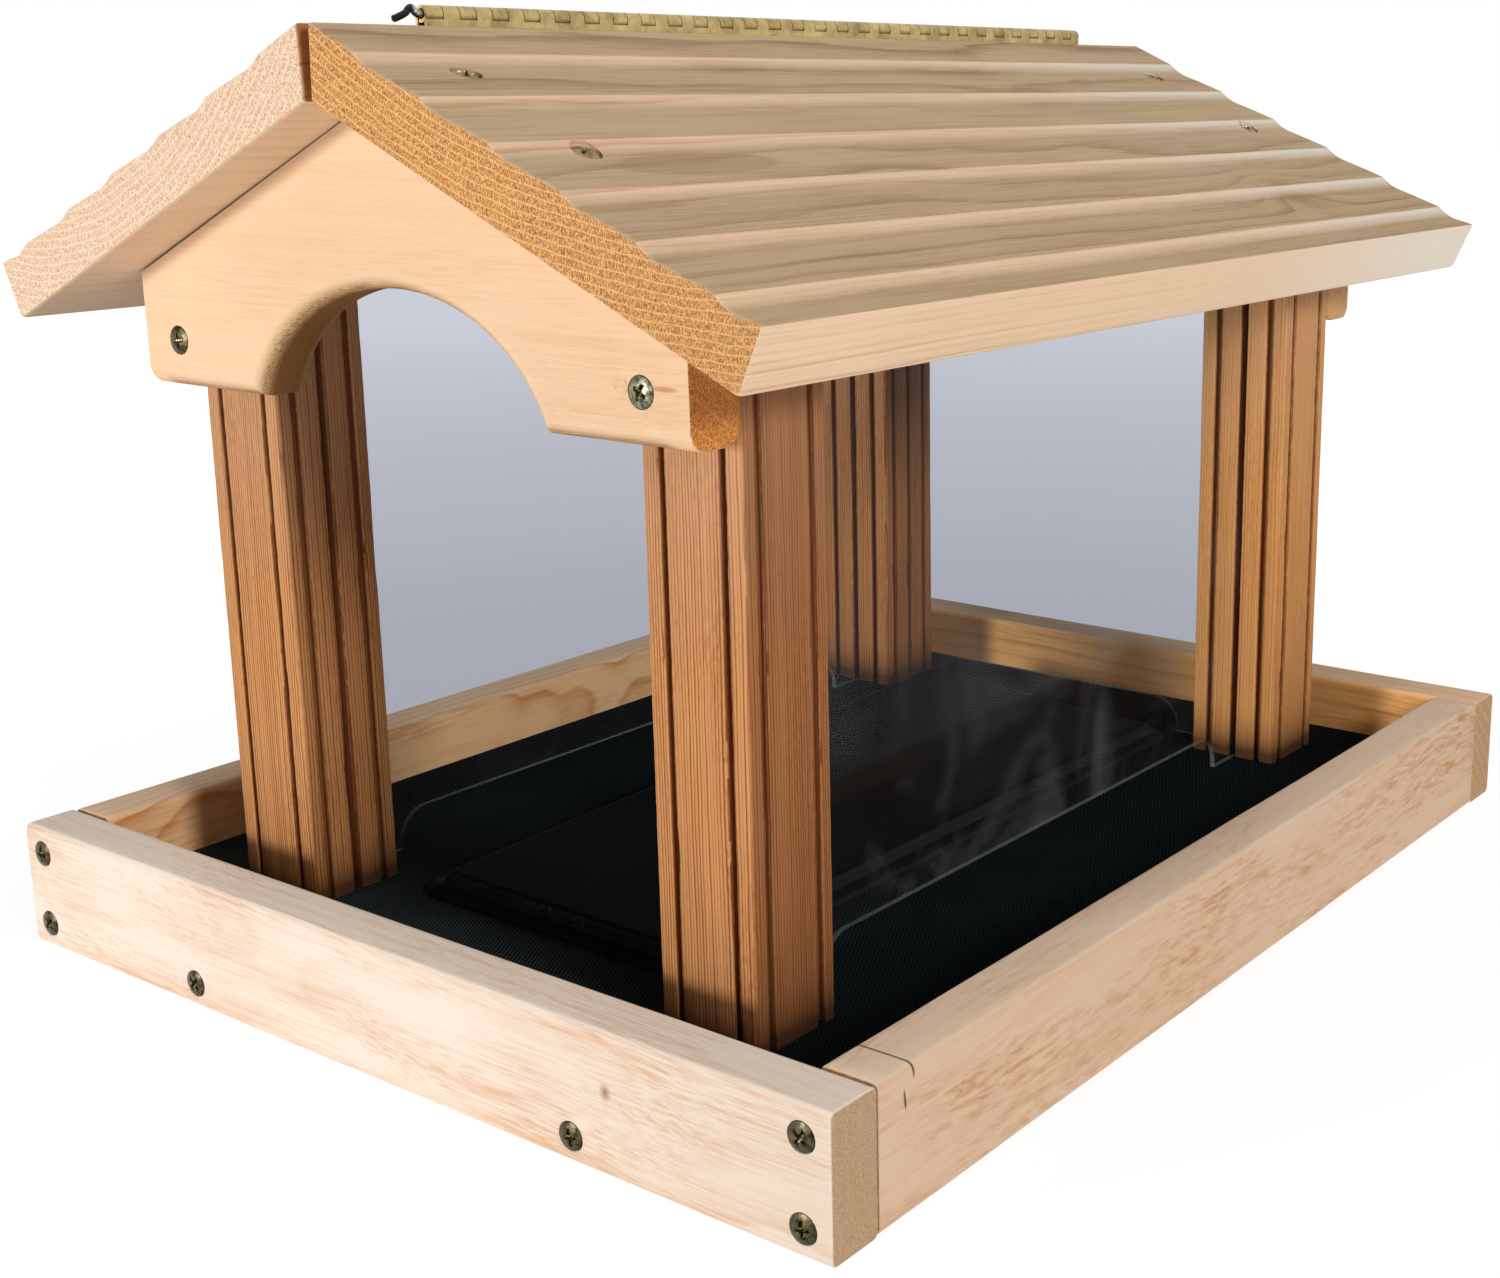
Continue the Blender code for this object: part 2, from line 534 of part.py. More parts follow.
SCREW_PROFILE = [(0, HEAD_DOME), (HEAD_R * 0.55, HEAD_DOME * 0.86), (HEAD_R * 0.86, HEAD_DOME * 0.5), (HEAD_R, 0.0), (SHANK_R, -HEAD_CONE), (SHANK_R, 3 - SCREW_L), (0, -SCREW_L)]
HOLE_PROFILE = [
    (0, 6.0), (HEAD_R + HOLE_CLEAR, 6.0), (HEAD_R + HOLE_CLEAR, -0.2),
    (SHANK_R + HOLE_CLEAR, -HEAD_CONE - 0.4), (SHANK_R + HOLE_CLEAR, -SCREW_L - 0.6), (0, -SCREW_L - 0.6),
]
holes = {}
for name, place, way, through in screws:
    body = add(name, *turned(SCREW_PROFILE, SCREW_SIDES, place, way), SCREW, tuple(place))
    up = -way
    a = up.orthogonal().normalized()
    b = up.cross(a)
    w, l = CROSS_W / 2, CROSS_L / 2
    cross = [(w, l), (w, w), (l, w), (l, -w), (w, -w), (w, -l), (-w, -l), (-w, -w), (-l, -w), (-l, w), (-w, w), (-w, l)]
    turn = math.radians(sum(ord(c) for c in name) * 37 % 90)
    ca, sa = math.cos(turn), math.sin(turn)
    ring = [(x * ca - y * sa, x * sa + y * ca) for x, y in cross]
    layers = [
        [tuple(place + up * (HEAD_DOME - CROSS_DEPTH) + a * x * 0.6 + b * y * 0.6) for x, y in ring],
        [tuple(place + up * (HEAD_DOME + 1.0) + a * x * 1.25 + b * y * 1.25) for x, y in ring],
    ]
    cutter = add("recess_" + name, *loft(layers), SCREW)
    hide_cutter(cutter)
    cut(body, cutter)
    for node in through:
        holes.setdefault(node, []).append(turned(HOLE_PROFILE, SCREW_SIDES, place, way))

for node, shapes in holes.items():
    verts, faces = [], []
    for v, f in shapes:
        base = len(verts)
        verts += v
        faces += [tuple(base + i for i in one) for one in f]
    cutter = add("holes_" + node, verts, faces, SCREW)
    hide_cutter(cutter)
    cut(bpy.data.objects[node], cutter)

for obj in bpy.data.objects:
    if not obj.hide_render:
        for poly in obj.data.polygons:
            poly.use_smooth = False
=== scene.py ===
"""Cedar bird feeder with an open tray, fluted posts, arched gables, clear panes and a hinged lap-board roof.

This gives the plain solids their finish and their fine shapes.
Lengths are in millimetres and turn to metres as a mesh is made. X runs across the open front, Y along the
ridge, Z up."""

import math

import bmesh
import bpy
from mathutils import Matrix, Vector, noise


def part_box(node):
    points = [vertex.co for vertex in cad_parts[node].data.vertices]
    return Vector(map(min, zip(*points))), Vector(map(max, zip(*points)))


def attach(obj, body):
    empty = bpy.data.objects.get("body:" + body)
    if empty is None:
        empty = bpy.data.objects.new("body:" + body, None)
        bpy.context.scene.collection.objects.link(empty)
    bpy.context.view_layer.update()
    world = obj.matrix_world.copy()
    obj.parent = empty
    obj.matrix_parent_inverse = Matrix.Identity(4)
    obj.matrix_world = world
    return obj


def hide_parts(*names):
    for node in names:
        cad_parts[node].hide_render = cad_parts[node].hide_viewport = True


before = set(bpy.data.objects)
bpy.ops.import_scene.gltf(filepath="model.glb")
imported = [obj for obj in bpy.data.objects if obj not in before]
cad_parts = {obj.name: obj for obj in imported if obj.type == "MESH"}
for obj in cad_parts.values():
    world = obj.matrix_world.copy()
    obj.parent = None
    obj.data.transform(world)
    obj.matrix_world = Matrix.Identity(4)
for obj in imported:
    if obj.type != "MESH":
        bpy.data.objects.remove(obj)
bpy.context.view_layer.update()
noise.seed_set(7)  # else the boards' slight unevenness would start from the clock

# The camera stands off the front right corner, a little above the roof, with a normal lens shifted slightly to
# the side.
camera = bpy.data.objects.new("camera", bpy.data.cameras.new("camera"))
bpy.context.scene.collection.objects.link(camera)
bpy.context.scene.camera = camera
camera.data.sensor_width = 36
camera.data.lens = 48.906
camera.data.shift_x, camera.data.shift_y = -0.13784, -0.04158
camera.matrix_world = Matrix((
    (0.81471, -0.13341, 0.56431, 0.46718),
    (0.57986, 0.19122, -0.79196, -0.57155),
    (-0.00225, 0.97244, 0.23314, 0.28792),
    (0, 0, 0, 1),
))


# Tray rails: four planed cedar boards, 19 mm thick, with rounded long edges. The end rails run full width and
# cover the ends of the side rails, and screws through their faces draw the frame together.
class Value:
    """A number, vector or colour that varies over a surface; each sum done with it adds a node."""

    def __init__(self, finish, socket):
        self.finish, self.socket = finish, socket

    def out(self, index):
        return Value(self.finish, self.socket.node.outputs[index])

    def work(self, operation, *others, **more):
        """What one maths node makes of this value and the others."""
        return self.finish.node("Math", {"operation": operation, **more}, dict(enumerate((self, *others))))

    def __add__(self, other):
        return self.work("ADD", other)

    def __sub__(self, other):
        return self.work("SUBTRACT", other)

    def __rsub__(self, other):
        return self.finish.node("Math", {"operation": "SUBTRACT"}, {0: other, 1: self})

    def __mul__(self, other):
        return self.work("MULTIPLY", other)

    def __truediv__(self, other):
        return self.work("DIVIDE", other)

    def __pow__(self, other):
        return self.work("POWER", other)

    def __abs__(self):
        return self.work("ABSOLUTE")

    def fade(self, none, full):
        """0 up to none, 1 from full on, or the other way round where none is larger."""
        return (self - none).work("MULTIPLY", 1 / (full - none), use_clamp=True)


class Finish:
    """One material, its main shader, and the one way in which nodes are added to it."""

    def __init__(self, name, **fixed):
        self.material = bpy.data.materials.new(name)
        self.material.use_nodes = True
        self.tree = self.material.node_tree
        self.shader = self.tree.nodes["Principled BSDF"]
        for socket, value in fixed.items():
            self.shader.inputs[socket.replace("_", " ")].default_value = value

    def node(self, kind, settings, sockets, out=0):
        node = self.tree.nodes.new("ShaderNode" + kind)
        for key, value in settings.items():
            setattr(node, key, value)
        for key, value in sockets.items():
            if isinstance(value, Value):
                self.tree.links.new(value.socket, node.inputs[key])
            elif isinstance(value, tuple) and node.inputs[key].type == "RGBA":
                node.inputs[key].default_value = (*value, 1)
            else:
                node.inputs[key].default_value = value
        return Value(self, node.outputs[out])

    def place(self):
        """A point of the surface, in metres; its output 1 is the way the surface faces."""
        return self.node("TexCoord", {}, {}, out=3)

    def split(self, vector):
        return self.node("SeparateXYZ", {}, {0: vector})

    def clouds(self, vector, scale, detail=2.0, roughness=0.5, distortion=0.0):
        return self.node("TexNoise", {}, {
            "Vector": vector, "Scale": scale, "Detail": detail, "Roughness": roughness, "Distortion": distortion})

    def mix(self, share, first, second):
        return self.node("Mix", {"data_type": "RGBA"}, {0: share, 6: first, 7: second}, out=2)

    def feed(self, **varying):
        for socket, value in varying.items():
            self.tree.links.new(value.socket, self.shader.inputs[socket.replace("_", " ")])

    def raised(self, height, strength, depth_mm):
        return self.node("Bump", {}, {"Strength": strength, "Distance": depth_mm / 1000, "Height": height})


WOOD_ROUGH, KNOT_COLOUR = 0.66, (0.30, 0.14, 0.05)


def cedar(name, grain, pith, ring, pale, dark, end_pale, end_dark, seed, figure=0.5, streak=0.35, patch=0.35,
          wander=4.0, slow=0.0035, flecks=(0.12, 1.2, 0.0, 0.1), slant=0.0, knots=(), relief=0.35,
          end_rows=0.7, end_from=0.72):
    """Cedar with its year rings round a pith line, grain along axis 0, 1 or 2; pith and ring in millimetres.

    figure, streak, patch and flecks set how strongly the year rings, fine streaks, broad patches and short
    flecks show; wander and slow bend the rings; end_rows and end_from shape the sawn ends."""
    f = Finish(name, Roughness=WOOD_ROUGH, Specular_IOR_Level=0.12)
    place = f.place()
    split = f.split(place)
    mm = [split.out(k) * 1000 for k in range(3)]
    run = mm[grain]
    u, v = (mm[k] for k in range(3) if k != grain)

    def cloud(along, across, detail, shift, bend=0.0):
        across_u, across_v = (u + bend) * across + shift, (v + bend) * across
        vector = f.node("CombineXYZ", {}, {0: run * along + seed, 1: across_u, 2: across_v})
        return f.clouds(vector, 1.0, detail, 0.6)

    from_pith_u, from_pith_v = u - pith[0], v - pith[1]
    radius = (from_pith_u * from_pith_u + from_pith_v * from_pith_v) ** 0.5
    bent = radius + (cloud(slow, 0.012, 2, 3.1) - 0.5) * (2 * wander) + (cloud(0.02, 0.14, 2, 7.7) - 0.5) * 1.2
    knot_dark = None
    for at, knot_u, knot_v, size in knots:
        off_run, off_u, off_v = (run - at) / 1.5, u - knot_u, v - knot_v
        far = off_run * off_run + off_u * off_u + off_v * off_v * 0.3
        bent = bent + (far / (-8.0 * size * size)).work("EXPONENT") * (size * 0.8)
        core = far.work("SQRT").fade(size * 1.5, size * 0.2)
        knot_dark = core if knot_dark is None else knot_dark.work("MAXIMUM", core)
    year = bent / ring
    phase = year.work("FRACT")
    tone = f.node("TexWhiteNoise", {"noise_dimensions": "1D"}, {"W": year.work("FLOOR") + seed})
    late = phase ** 4.0 * phase.fade(1.0, 0.90) * (tone * 0.8 + 0.35)
    streaks = cloud(0.011, 0.9, 3, 11.0)
    fibres = cloud(0.06, 3.2, 2, 5.0)
    patches = cloud(0.012, 0.045, 2, 17.0)
    sway = (cloud(0.012, 0.02, 1, 23.0) - 0.5) * 12.0 + run * slant
    fleck_along, fleck_across, fleck_amount, fleck_soft = flecks
    fleck = cloud(fleck_along, fleck_across, 3, 29.0, sway).fade(0.54 - fleck_soft, 0.54 + fleck_soft)
    fleck = fleck * cloud(0.010, 0.05, 3, 31.0, sway).fade(0.36, 0.66) * fleck_amount
    shade = late * (figure * 1.5) + (streaks - 0.5) * (2 * streak)
    shade = shade + (patches - 0.46) * (2 * patch) + (fibres - 0.5) * 0.35 + fleck
    side = f.mix(shade.fade(0.0, 1.0), pale, dark)
    turn = from_pith_v.work("ARCTAN2", from_pith_u) * max(math.hypot(*pith), 20.0)
    coarse = f.node("CombineXYZ", {}, {0: bent * 1.0, 1: turn * 1.6, 2: run * 0.05 + seed})
    fine = f.node("CombineXYZ", {}, {0: bent * 2.0, 1: turn * 3.4, 2: run * 0.05 + seed})
    dashes = f.clouds(coarse, 1.0, 2.0, 0.6)
    specks = f.clouds(fine, 1.0, 1.0, 0.6)
    between = abs(phase * 2 - 1).fade(1.0, 0.72)
    coarse_end = dashes.fade(0.44, 0.56) * 0.55 + specks.fade(0.46, 0.56) * 0.55
    end = f.mix(coarse_end * (between * end_rows + (1 - end_rows)), end_pale, end_dark)
    f.normal = place.out(1)
    facing = f.split(f.normal).out(grain)
    on_end = abs(facing).fade(end_from, end_from + 0.2)
    colour = f.mix(on_end, side, end)
    if knot_dark is not None:
        colour = f.mix(knot_dark * (patches * 0.6 + 0.6), colour, KNOT_COLOUR)
    height = streaks * 0.6 + fibres * 0.5 - late * 0.3 + (dashes + specks) * on_end * 1.3
    f.mm, f.side, f.colour, f.shade, f.torn_ends = mm, side, colour, shade, coarse_end
    f.feed(Base_Color=colour, Roughness=fibres * 0.25 + (WOOD_ROUGH - 0.12), Normal=f.raised(height, relief, 0.45))
    return f


def rounded_ring(half_u, half_v, radius, steps):
    """The outline of a rectangle with rounded corners."""
    ring = []
    for cu, cv, first in ((1, 1, 0), (-1, 1, 90), (-1, -1, 180), (1, -1, 270)):
        for k in range(steps + 1):
            a = math.radians(first + 90 * k / steps)
            u, v = cu * (half_u - radius), cv * (half_v - radius)
            ring.append((u + radius * math.cos(a), v + radius * math.sin(a)))
    return ring


def lofted(rings):
    """A closed body through rings of equally many points."""
    n = len(rings[0])
    faces = []
    for k in range(0, (len(rings) - 1) * n, n):
        faces += [(k + i, k + (i + 1) % n, k + n + (i + 1) % n, k + n + i) for i in range(n)]
    last = (len(rings) - 1) * n
    return [p for ring in rings for p in ring], faces + [tuple(range(n))[::-1], tuple(range(last, last + n))]


def closed_mesh(name, verts, faces):
    """A mesh from millimetre points, its faces turned outward."""
    mesh = bpy.data.meshes.new(name)
    mesh.from_pydata([Vector(p) / 1000 for p in verts], [], faces)
    form = bmesh.new()
    form.from_mesh(mesh)
    bmesh.ops.remove_doubles(form, verts=form.verts, dist=1e-7)
    bmesh.ops.recalc_face_normals(form, faces=form.faces)
    form.to_mesh(mesh)
    form.free()
    return mesh


def made(name, verts, faces, material, body, slot, nodes, crease=32):
    """A finished piece, fixed to its body in place of its plain solids."""
    mesh = closed_mesh(name, verts, faces)
    mesh.polygons.foreach_set("use_smooth", [True] * len(mesh.polygons))
    mesh.set_sharp_from_angle(angle=math.radians(crease))
    piece = bpy.data.objects.new(name, mesh)
    bpy.context.scene.collection.objects.link(piece)
    mesh.materials.append(material)
    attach(piece, body)
    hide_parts(*nodes)
    return piece


def board_body(grain, low, high, edge, ends_rounded, rows, seed, wave=0.12):
    """A rounded bar between two corners, its grain along one axis, very slightly uneven."""
    across = [k for k in range(3) if k != grain]
    mid = [(low[k] + high[k]) / 2 for k in across]
    half = [(high[k] - low[k]) / 2 for k in across]
    stations = [(low[grain] + (high[grain] - low[grain]) * k / rows, 0.0) for k in range(rows + 1)]
    lip = 0.9 if ends_rounded else 0.4
    angles = [math.radians(a) for a in (0, 22, 45, 68, 90)]
    turn = [(lip * (1 - math.cos(a)), lip * (1 - math.sin(a))) for a in angles]
    last = [(high[grain] - d, inset) for d, inset in reversed(turn)]
    stations = [(low[grain] + d, inset) for d, inset in turn] + stations[1:-1] + last
    rings = []
    for at, inset in stations:
        ring = []
        for u, v in rounded_ring(half[0] - inset, half[1] - inset, max(edge - inset, 0.4), 5):
            p = [0.0, 0.0, 0.0]
            p[grain], p[across[0]], p[across[1]] = at, mid[0] + u, mid[1] + v
            point = Vector(p)
            point += noise.noise_vector(point * 0.03 + Vector((seed, 0, 0))) * wave * (0.0 if inset else 1.0)
            ring.append(point)
        rings.append(ring)
    if grain == 1:
        rings = [ring[::-1] for ring in rings]
    return lofted(rings)


EDGE = 2.2
rails = {
    "front_rail": cedar(
        "cedar front rail", 0, (-160.0, 30.0), 5.5,
        (0.86, 0.745, 0.635), (0.72, 0.46, 0.29), (0.66, 0.46, 0.27), (0.30, 0.17, 0.08), 2.0,
        figure=0.45, streak=0.48, patch=0.45, wander=9.0, slow=0.008, flecks=(0.045, 1.6, 1.1, 0.13), slant=0.06,
        end_rows=0.2, knots=((99.4, -219.0, 25.4, 1.1),)),
    "back_rail": cedar(
        "cedar back rail", 0, (150.0, -26.0), 4.6,
        (0.92, 0.50, 0.18), (0.60, 0.26, 0.08), (0.62, 0.42, 0.24), (0.38, 0.20, 0.09), 9.0,
        figure=0.6, streak=0.3, patch=0.4, flecks=(0.05, 0.8, 0.5, 0.1)),
    "left_rail": cedar(
        "cedar left rail", 1, (-60.0, 10.0), 5.0,
        (0.98, 0.63, 0.34), (0.70, 0.30, 0.11), (0.66, 0.46, 0.28), (0.40, 0.22, 0.10), 5.0,
        figure=1.1, streak=0.25, patch=0.4, wander=12.0, slow=0.014, flecks=(0.04, 0.6, 0.5, 0.1)),
    "right_rail": cedar(
        "cedar right rail", 1, (90.0, 70.0), 4.2,
        (0.70, 0.50, 0.35), (0.52, 0.27, 0.12), (0.62, 0.42, 0.26), (0.40, 0.22, 0.10), 13.0,
        figure=0.12, streak=0.28, patch=0.40, wander=8.0, slow=0.010, flecks=(0.10, 0.55, 0.9, 0.12), slant=0.03),
}
RAIL_ROWS = 70
FRONT_TOP_PAINTED_LIGHT, OTHER_TOP_PAINTED_LIGHT = (1.0, 0.93, 0.82), (0.86, 0.70, 0.53)
FRONT_RAIL_PAINTED_SHADE, CHECK_DARK = (0.50, 0.36, 0.25), (0.08, 0.035, 0.015)
for seed, (node, wood) in enumerate(rails.items()):
    low, high = (corner * 1000 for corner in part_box(node))
    grain = 0 if node in ("front_rail", "back_rail") else 1
    # Rail tops are painted paler: a painted highlight standing in for light from above, with the grain still showing
    # through.
    up = wood.split(wood.normal).out(2).fade(0.5, 0.9)
    top = FRONT_TOP_PAINTED_LIGHT if node == "front_rail" else OTHER_TOP_PAINTED_LIGHT
    colour = wood.mix(up * (0.66 - wood.shade.fade(0.0, 1.0) * 0.3), wood.colour, top)
    # The front rail is painted darker towards its right end: painted shade where the lamps' light falls off.
    if node == "front_rail":
        colour = wood.mix(wood.mm[0].fade(40.0, 178.0) * 0.22, colour, FRONT_RAIL_PAINTED_SHADE)
    if node == "right_rail":
        for check_y, check_z in ((-185.0, 41.6), (-188.6, 34.0)):
            off_z = wood.mm[2] - check_z
            off_y, off_z = (wood.mm[1] - check_y + off_z * 0.12) / 0.5, off_z / 3.2
            colour = wood.mix((off_y * off_y + off_z * off_z).fade(1.2, 0.5) * 0.85, colour, CHECK_DARK)
    wood.feed(Base_Color=colour)
    body = board_body(grain, low, high, EDGE, grain == 0, RAIL_ROWS, seed)
    made(node + "_board", *body, wood.material, "feeder", "cedar_rail", [node])

# Floor bearers: two flat cedar battens under the floor, hidden from above, that carry it and take the posts'
# screws.
BEARER_EDGE, BEARER_ROWS = 1.2, 40
for seed, node in enumerate(("bearer_left", "bearer_right")):
    low, high = (corner * 1000 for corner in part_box(node))
    wood = cedar(
        "cedar " + node.replace("_", " "), 1, ((low[0] + high[0]) / 2, -60.0), 4.5,
        (0.70, 0.47, 0.28), (0.48, 0.27, 0.13), (0.60, 0.38, 0.2), (0.34, 0.17, 0.07), 21.0 + seed)
    body = board_body(1, low, high, BEARER_EDGE, False, BEARER_ROWS, 8 + seed, 0.0)
    made(node + "_board", *body, wood.material, "feeder", "cedar_rail", [node])

# Floor: a black plastic screen laid over the bearers, woven so finely that it reads as close slanting lines. The
# lines are painted a lighter teal, partly the threads and partly a painted sheen; the front is painted lighter.
screen = Finish("black screen", Roughness=0.6, Specular_IOR_Level=0.0)
place = screen.place()
split = screen.split(place)
SCREEN_PITCH = 1.5
warp = (split + split.out(1) * 0.55) * (1000 * 2 * math.pi / SCREEN_PITCH)
weft = (split.out(1) - split * 0.55) * (1000 * 2 * math.pi / SCREEN_PITCH)
line = warp.work("SINE") * 0.5 + 0.5
cross = weft.work("SINE") * 0.5 + 0.5
dust = screen.clouds(place, 26.0, 4.0, 0.6)
weave = line * 0.75 + cross * 0.25
# The lighter teal of the threads is partly their own colour and partly a painted sheen.
threads_and_painted_sheen = line ** 3.0 * 0.7 + cross * 0.15 + dust.fade(0.5, 0.8) * 0.2
# Painted light: the screen is painted lighter towards the front, where the lamps leave it in shade.
front_painted_light = split.out(1).fade(-0.04, -0.17) * split.fade(0.10, 0.0) * 0.85
screen.feed(
    Base_Color=screen.mix(
        front_painted_light,
        screen.mix(threads_and_painted_sheen, (0.0065, 0.0070, 0.0075), (0.014, 0.026, 0.030)),
        screen.mix(threads_and_painted_sheen, (0.006, 0.009, 0.010), (0.076, 0.102, 0.110)),
    ),
    Roughness=dust * 0.2 + 0.5,
    Normal=screen.raised(weave, 0.5, 0.25),
)
floor_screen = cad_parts["floor_screen"]
floor_screen.data.materials.clear()
floor_screen.data.materials.append(screen.material)

# Seed plate: a loose moulded black plate with a thin flange, a bevelled step and a raised middle; its back left
# corner has lifted.
PLATE_Z, FLANGE_T, PLATE_RISE, FLANGE_W, BEVEL_W = 21.6, 2.2, 4.6, 5.0, 2.6
low, high = (corner * 1000 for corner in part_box("seed_plate"))
plate_w, plate_l, plate_x, plate_curl = high[0] - low[0], high[1] - low[1], (low[0] + high[0]) / 2, 8.5
PLATE_CORNER_R, CORNER_STEPS, PLATE_STEPS_X, PLATE_STEPS_Y = 9.0, 8, 18, 30


def plate_lift(x, y):
    """How far the curl towards the back left corner raises a point, in millimetres."""
    u = min(max((plate_w / 2 - x) / plate_w, 0), 1)
    v = min(max((y + plate_l / 2) / plate_l, 0), 1)
    return plate_curl * u * (0.15 + 0.85 * v) ** 1.3 * u


def plate_ring(inset, height):
    """The plate's outline, drawn in and raised, and lifted with its curl."""
    corners = rounded_ring(plate_w / 2 - inset, plate_l / 2 - inset, max(PLATE_CORNER_R - inset, 2.0), CORNER_STEPS)
    per_corner = CORNER_STEPS + 1
    points = []
    for k, p in enumerate(corners):
        q = corners[(k + 1) % len(corners)]
        steps = 1
        if k % per_corner == CORNER_STEPS:
            steps = PLATE_STEPS_X if k % (2 * per_corner) == CORNER_STEPS else PLATE_STEPS_Y
        points += [(p[0] + (q[0] - p[0]) * m / steps, p[1] + (q[1] - p[1]) * m / steps) for m in range(steps)]
    return [(plate_x + x, y, PLATE_Z + height + plate_lift(x, y)) for x, y in points]


bevel_foot, plate_top = FLANGE_T + 0.7, FLANGE_T + PLATE_RISE
plate_section = [(0.4, 0.0), (0.0, 0.4), (0.0, FLANGE_T - 0.5), (0.5, FLANGE_T)]
plate_section += [(FLANGE_W - 0.6, FLANGE_T + 0.35), (FLANGE_W, bevel_foot)]
for k in range(1, 5):
    plate_section.append((FLANGE_W + BEVEL_W * (0.1 + 0.5 * k / 4), bevel_foot + (PLATE_RISE - 1.4) * k / 4))
plate_section += [(FLANGE_W + BEVEL_W * 0.9, plate_top - 0.25), (FLANGE_W + BEVEL_W * 1.35, plate_top)]
flat_from = FLANGE_W + BEVEL_W * 1.6
for d in (0, 8, 18, 28, 38, 48, 58):
    if flat_from + d < plate_w / 2 - 4:
        plate_section.append((flat_from + d, plate_top))
plate_underside = [(plate_w / 2 - 6, 0.0), (40.0, 0.0), (20.0, 0.0)]
plate_rings = [plate_ring(inset, height) for inset, height in plate_underside + plate_section]
plate = Finish("black plate", Roughness=0.4, Specular_IOR_Level=0.005)
place = plate.place()
speck = plate.clouds(place, 900.0, 3.0, 0.75)
cloudy = plate.clouds(place, 34.0, 5.0, 0.6)
up_z = plate.split(place.out(1)).out(2)
scuffs = up_z.fade(0.96, 0.6) * speck.fade(0.60, 0.72) * cloudy.fade(0.45, 0.6)
# The flange and bevel faces are painted lighter: a painted highlight along the plate's rims.
steep_painted_highlight = plate.mix(up_z.fade(0.985, 0.7) * (cloudy * 0.6 + 0.4), (0.002, 0.002, 0.0022), (0.022, 0.022, 0.025))
plate.feed(
    Base_Color=plate.mix(scuffs * 0.35, steep_painted_highlight, (0.42, 0.42, 0.44)),
    Roughness=cloudy * 0.25 + 0.28 + scuffs * 0.3,
    Normal=plate.raised(speck * scuffs, 0.1, 0.3),
)
made("seed_plate_moulding", *lofted(plate_rings), plate.material, "feeder", "black_plate", ["seed_plate"],
     crease=40)

# Posts: reddish cedar milled with two flutes in every face, the edges left torn by the cutter, and a slot for a
# pane in each inner face. Each stands on the floor over a bearer.
POST_W, POST_D, POST_Z, POST_TOP = 37.0, 34.5, 21.6, 232.0
FLUTE_OFF, FLUTE_DEPTH, SLOT_W, SLOT_DEPTH = 11.0, 2.6, 3.0, 7.4
POST_X, POST_Y = 97.6, 158.0
POST_ROWS = 150
FLUTE_W = {"inner": 2.8, "side": 3.2, "end": 2.1}


def torn(x, y, z, seed):
    """How far the cutter has torn an edge back at a point, in millimetres."""
    p = Vector((x * 0.4 + seed, y * 0.4, z * 0.22))
    fine = abs(noise.noise(p)) * 0.55
    rare = max(noise.noise(Vector((x * 0.3 + seed, y * 0.3 + 9, z * 0.055))) - 0.30, 0)
    chip = rare * 3.2 * (0.5 + abs(noise.noise(p * 3)))
    return 0.15 + fine + chip


def post_section(sx, sy, z, seed, cx, cy):
    """A post's outline at one height: fluted on every face, slotted on the inner ones."""
    ring = []
    for nx, ny in ((1, 0), (0, 1), (-1, 0), (0, -1)):
        half_len, reach = (POST_D / 2, POST_W / 2) if nx else (POST_W / 2, POST_D / 2)
        outward = (nx and nx == sx) or (ny and ny == sy)
        width = FLUTE_W["inner"] if not outward else (FLUTE_W["side"] if nx else FLUTE_W["end"])
        cuts = [(-FLUTE_OFF, width, FLUTE_DEPTH), (FLUTE_OFF, width, FLUTE_DEPTH)]
        if not outward:
            cuts.insert(1, (0.0, SLOT_W, SLOT_DEPTH))
        round_off = 1.1 + torn(cx + nx, cy + ny, z * 0.6, seed + 3) * 0.7
        line = [(-half_len + round_off, 0.0)]
        for mid, wide, deep in cuts:
            a, b = mid - wide / 2, mid + wide / 2
            chip_a, chip_b = (
                torn(cx + nx * 20, cy + edge + ny * 20, z, seed + more) for edge, more in ((a, 0), (b, 5))
            )
            start = line[-1][0]
            line += [(start + (a - chip_a - start) * k / 3, 0.0) for k in (1, 2)]
            line += [(a - chip_a, 0.0), (a - chip_a * 0.35, -chip_a * 0.35), (a, -chip_a)]
            line += [(a, -deep + 0.3), (a + 0.3, -deep), (b - 0.3, -deep), (b, -deep + 0.3)]
            line += [(b, -chip_b), (b + chip_b * 0.35, -chip_b * 0.35), (b + chip_b, 0.0)]
        start = line[-1][0]
        line += [(start + (half_len - round_off - start) * k / 3, 0.0) for k in (1, 2, 3)]
        for along, depth in line:
            ring.append((cx + nx * (reach + depth) - ny * along, cy + ny * (reach + depth) + nx * along))
        for a in (30, 60):
            c, s = math.cos(math.radians(a)), math.sin(math.radians(a))
            out, on = reach - round_off + round_off * c, half_len - round_off + round_off * s
            ring.append((cx + nx * out - ny * on, cy + ny * out + nx * on))
    return ring


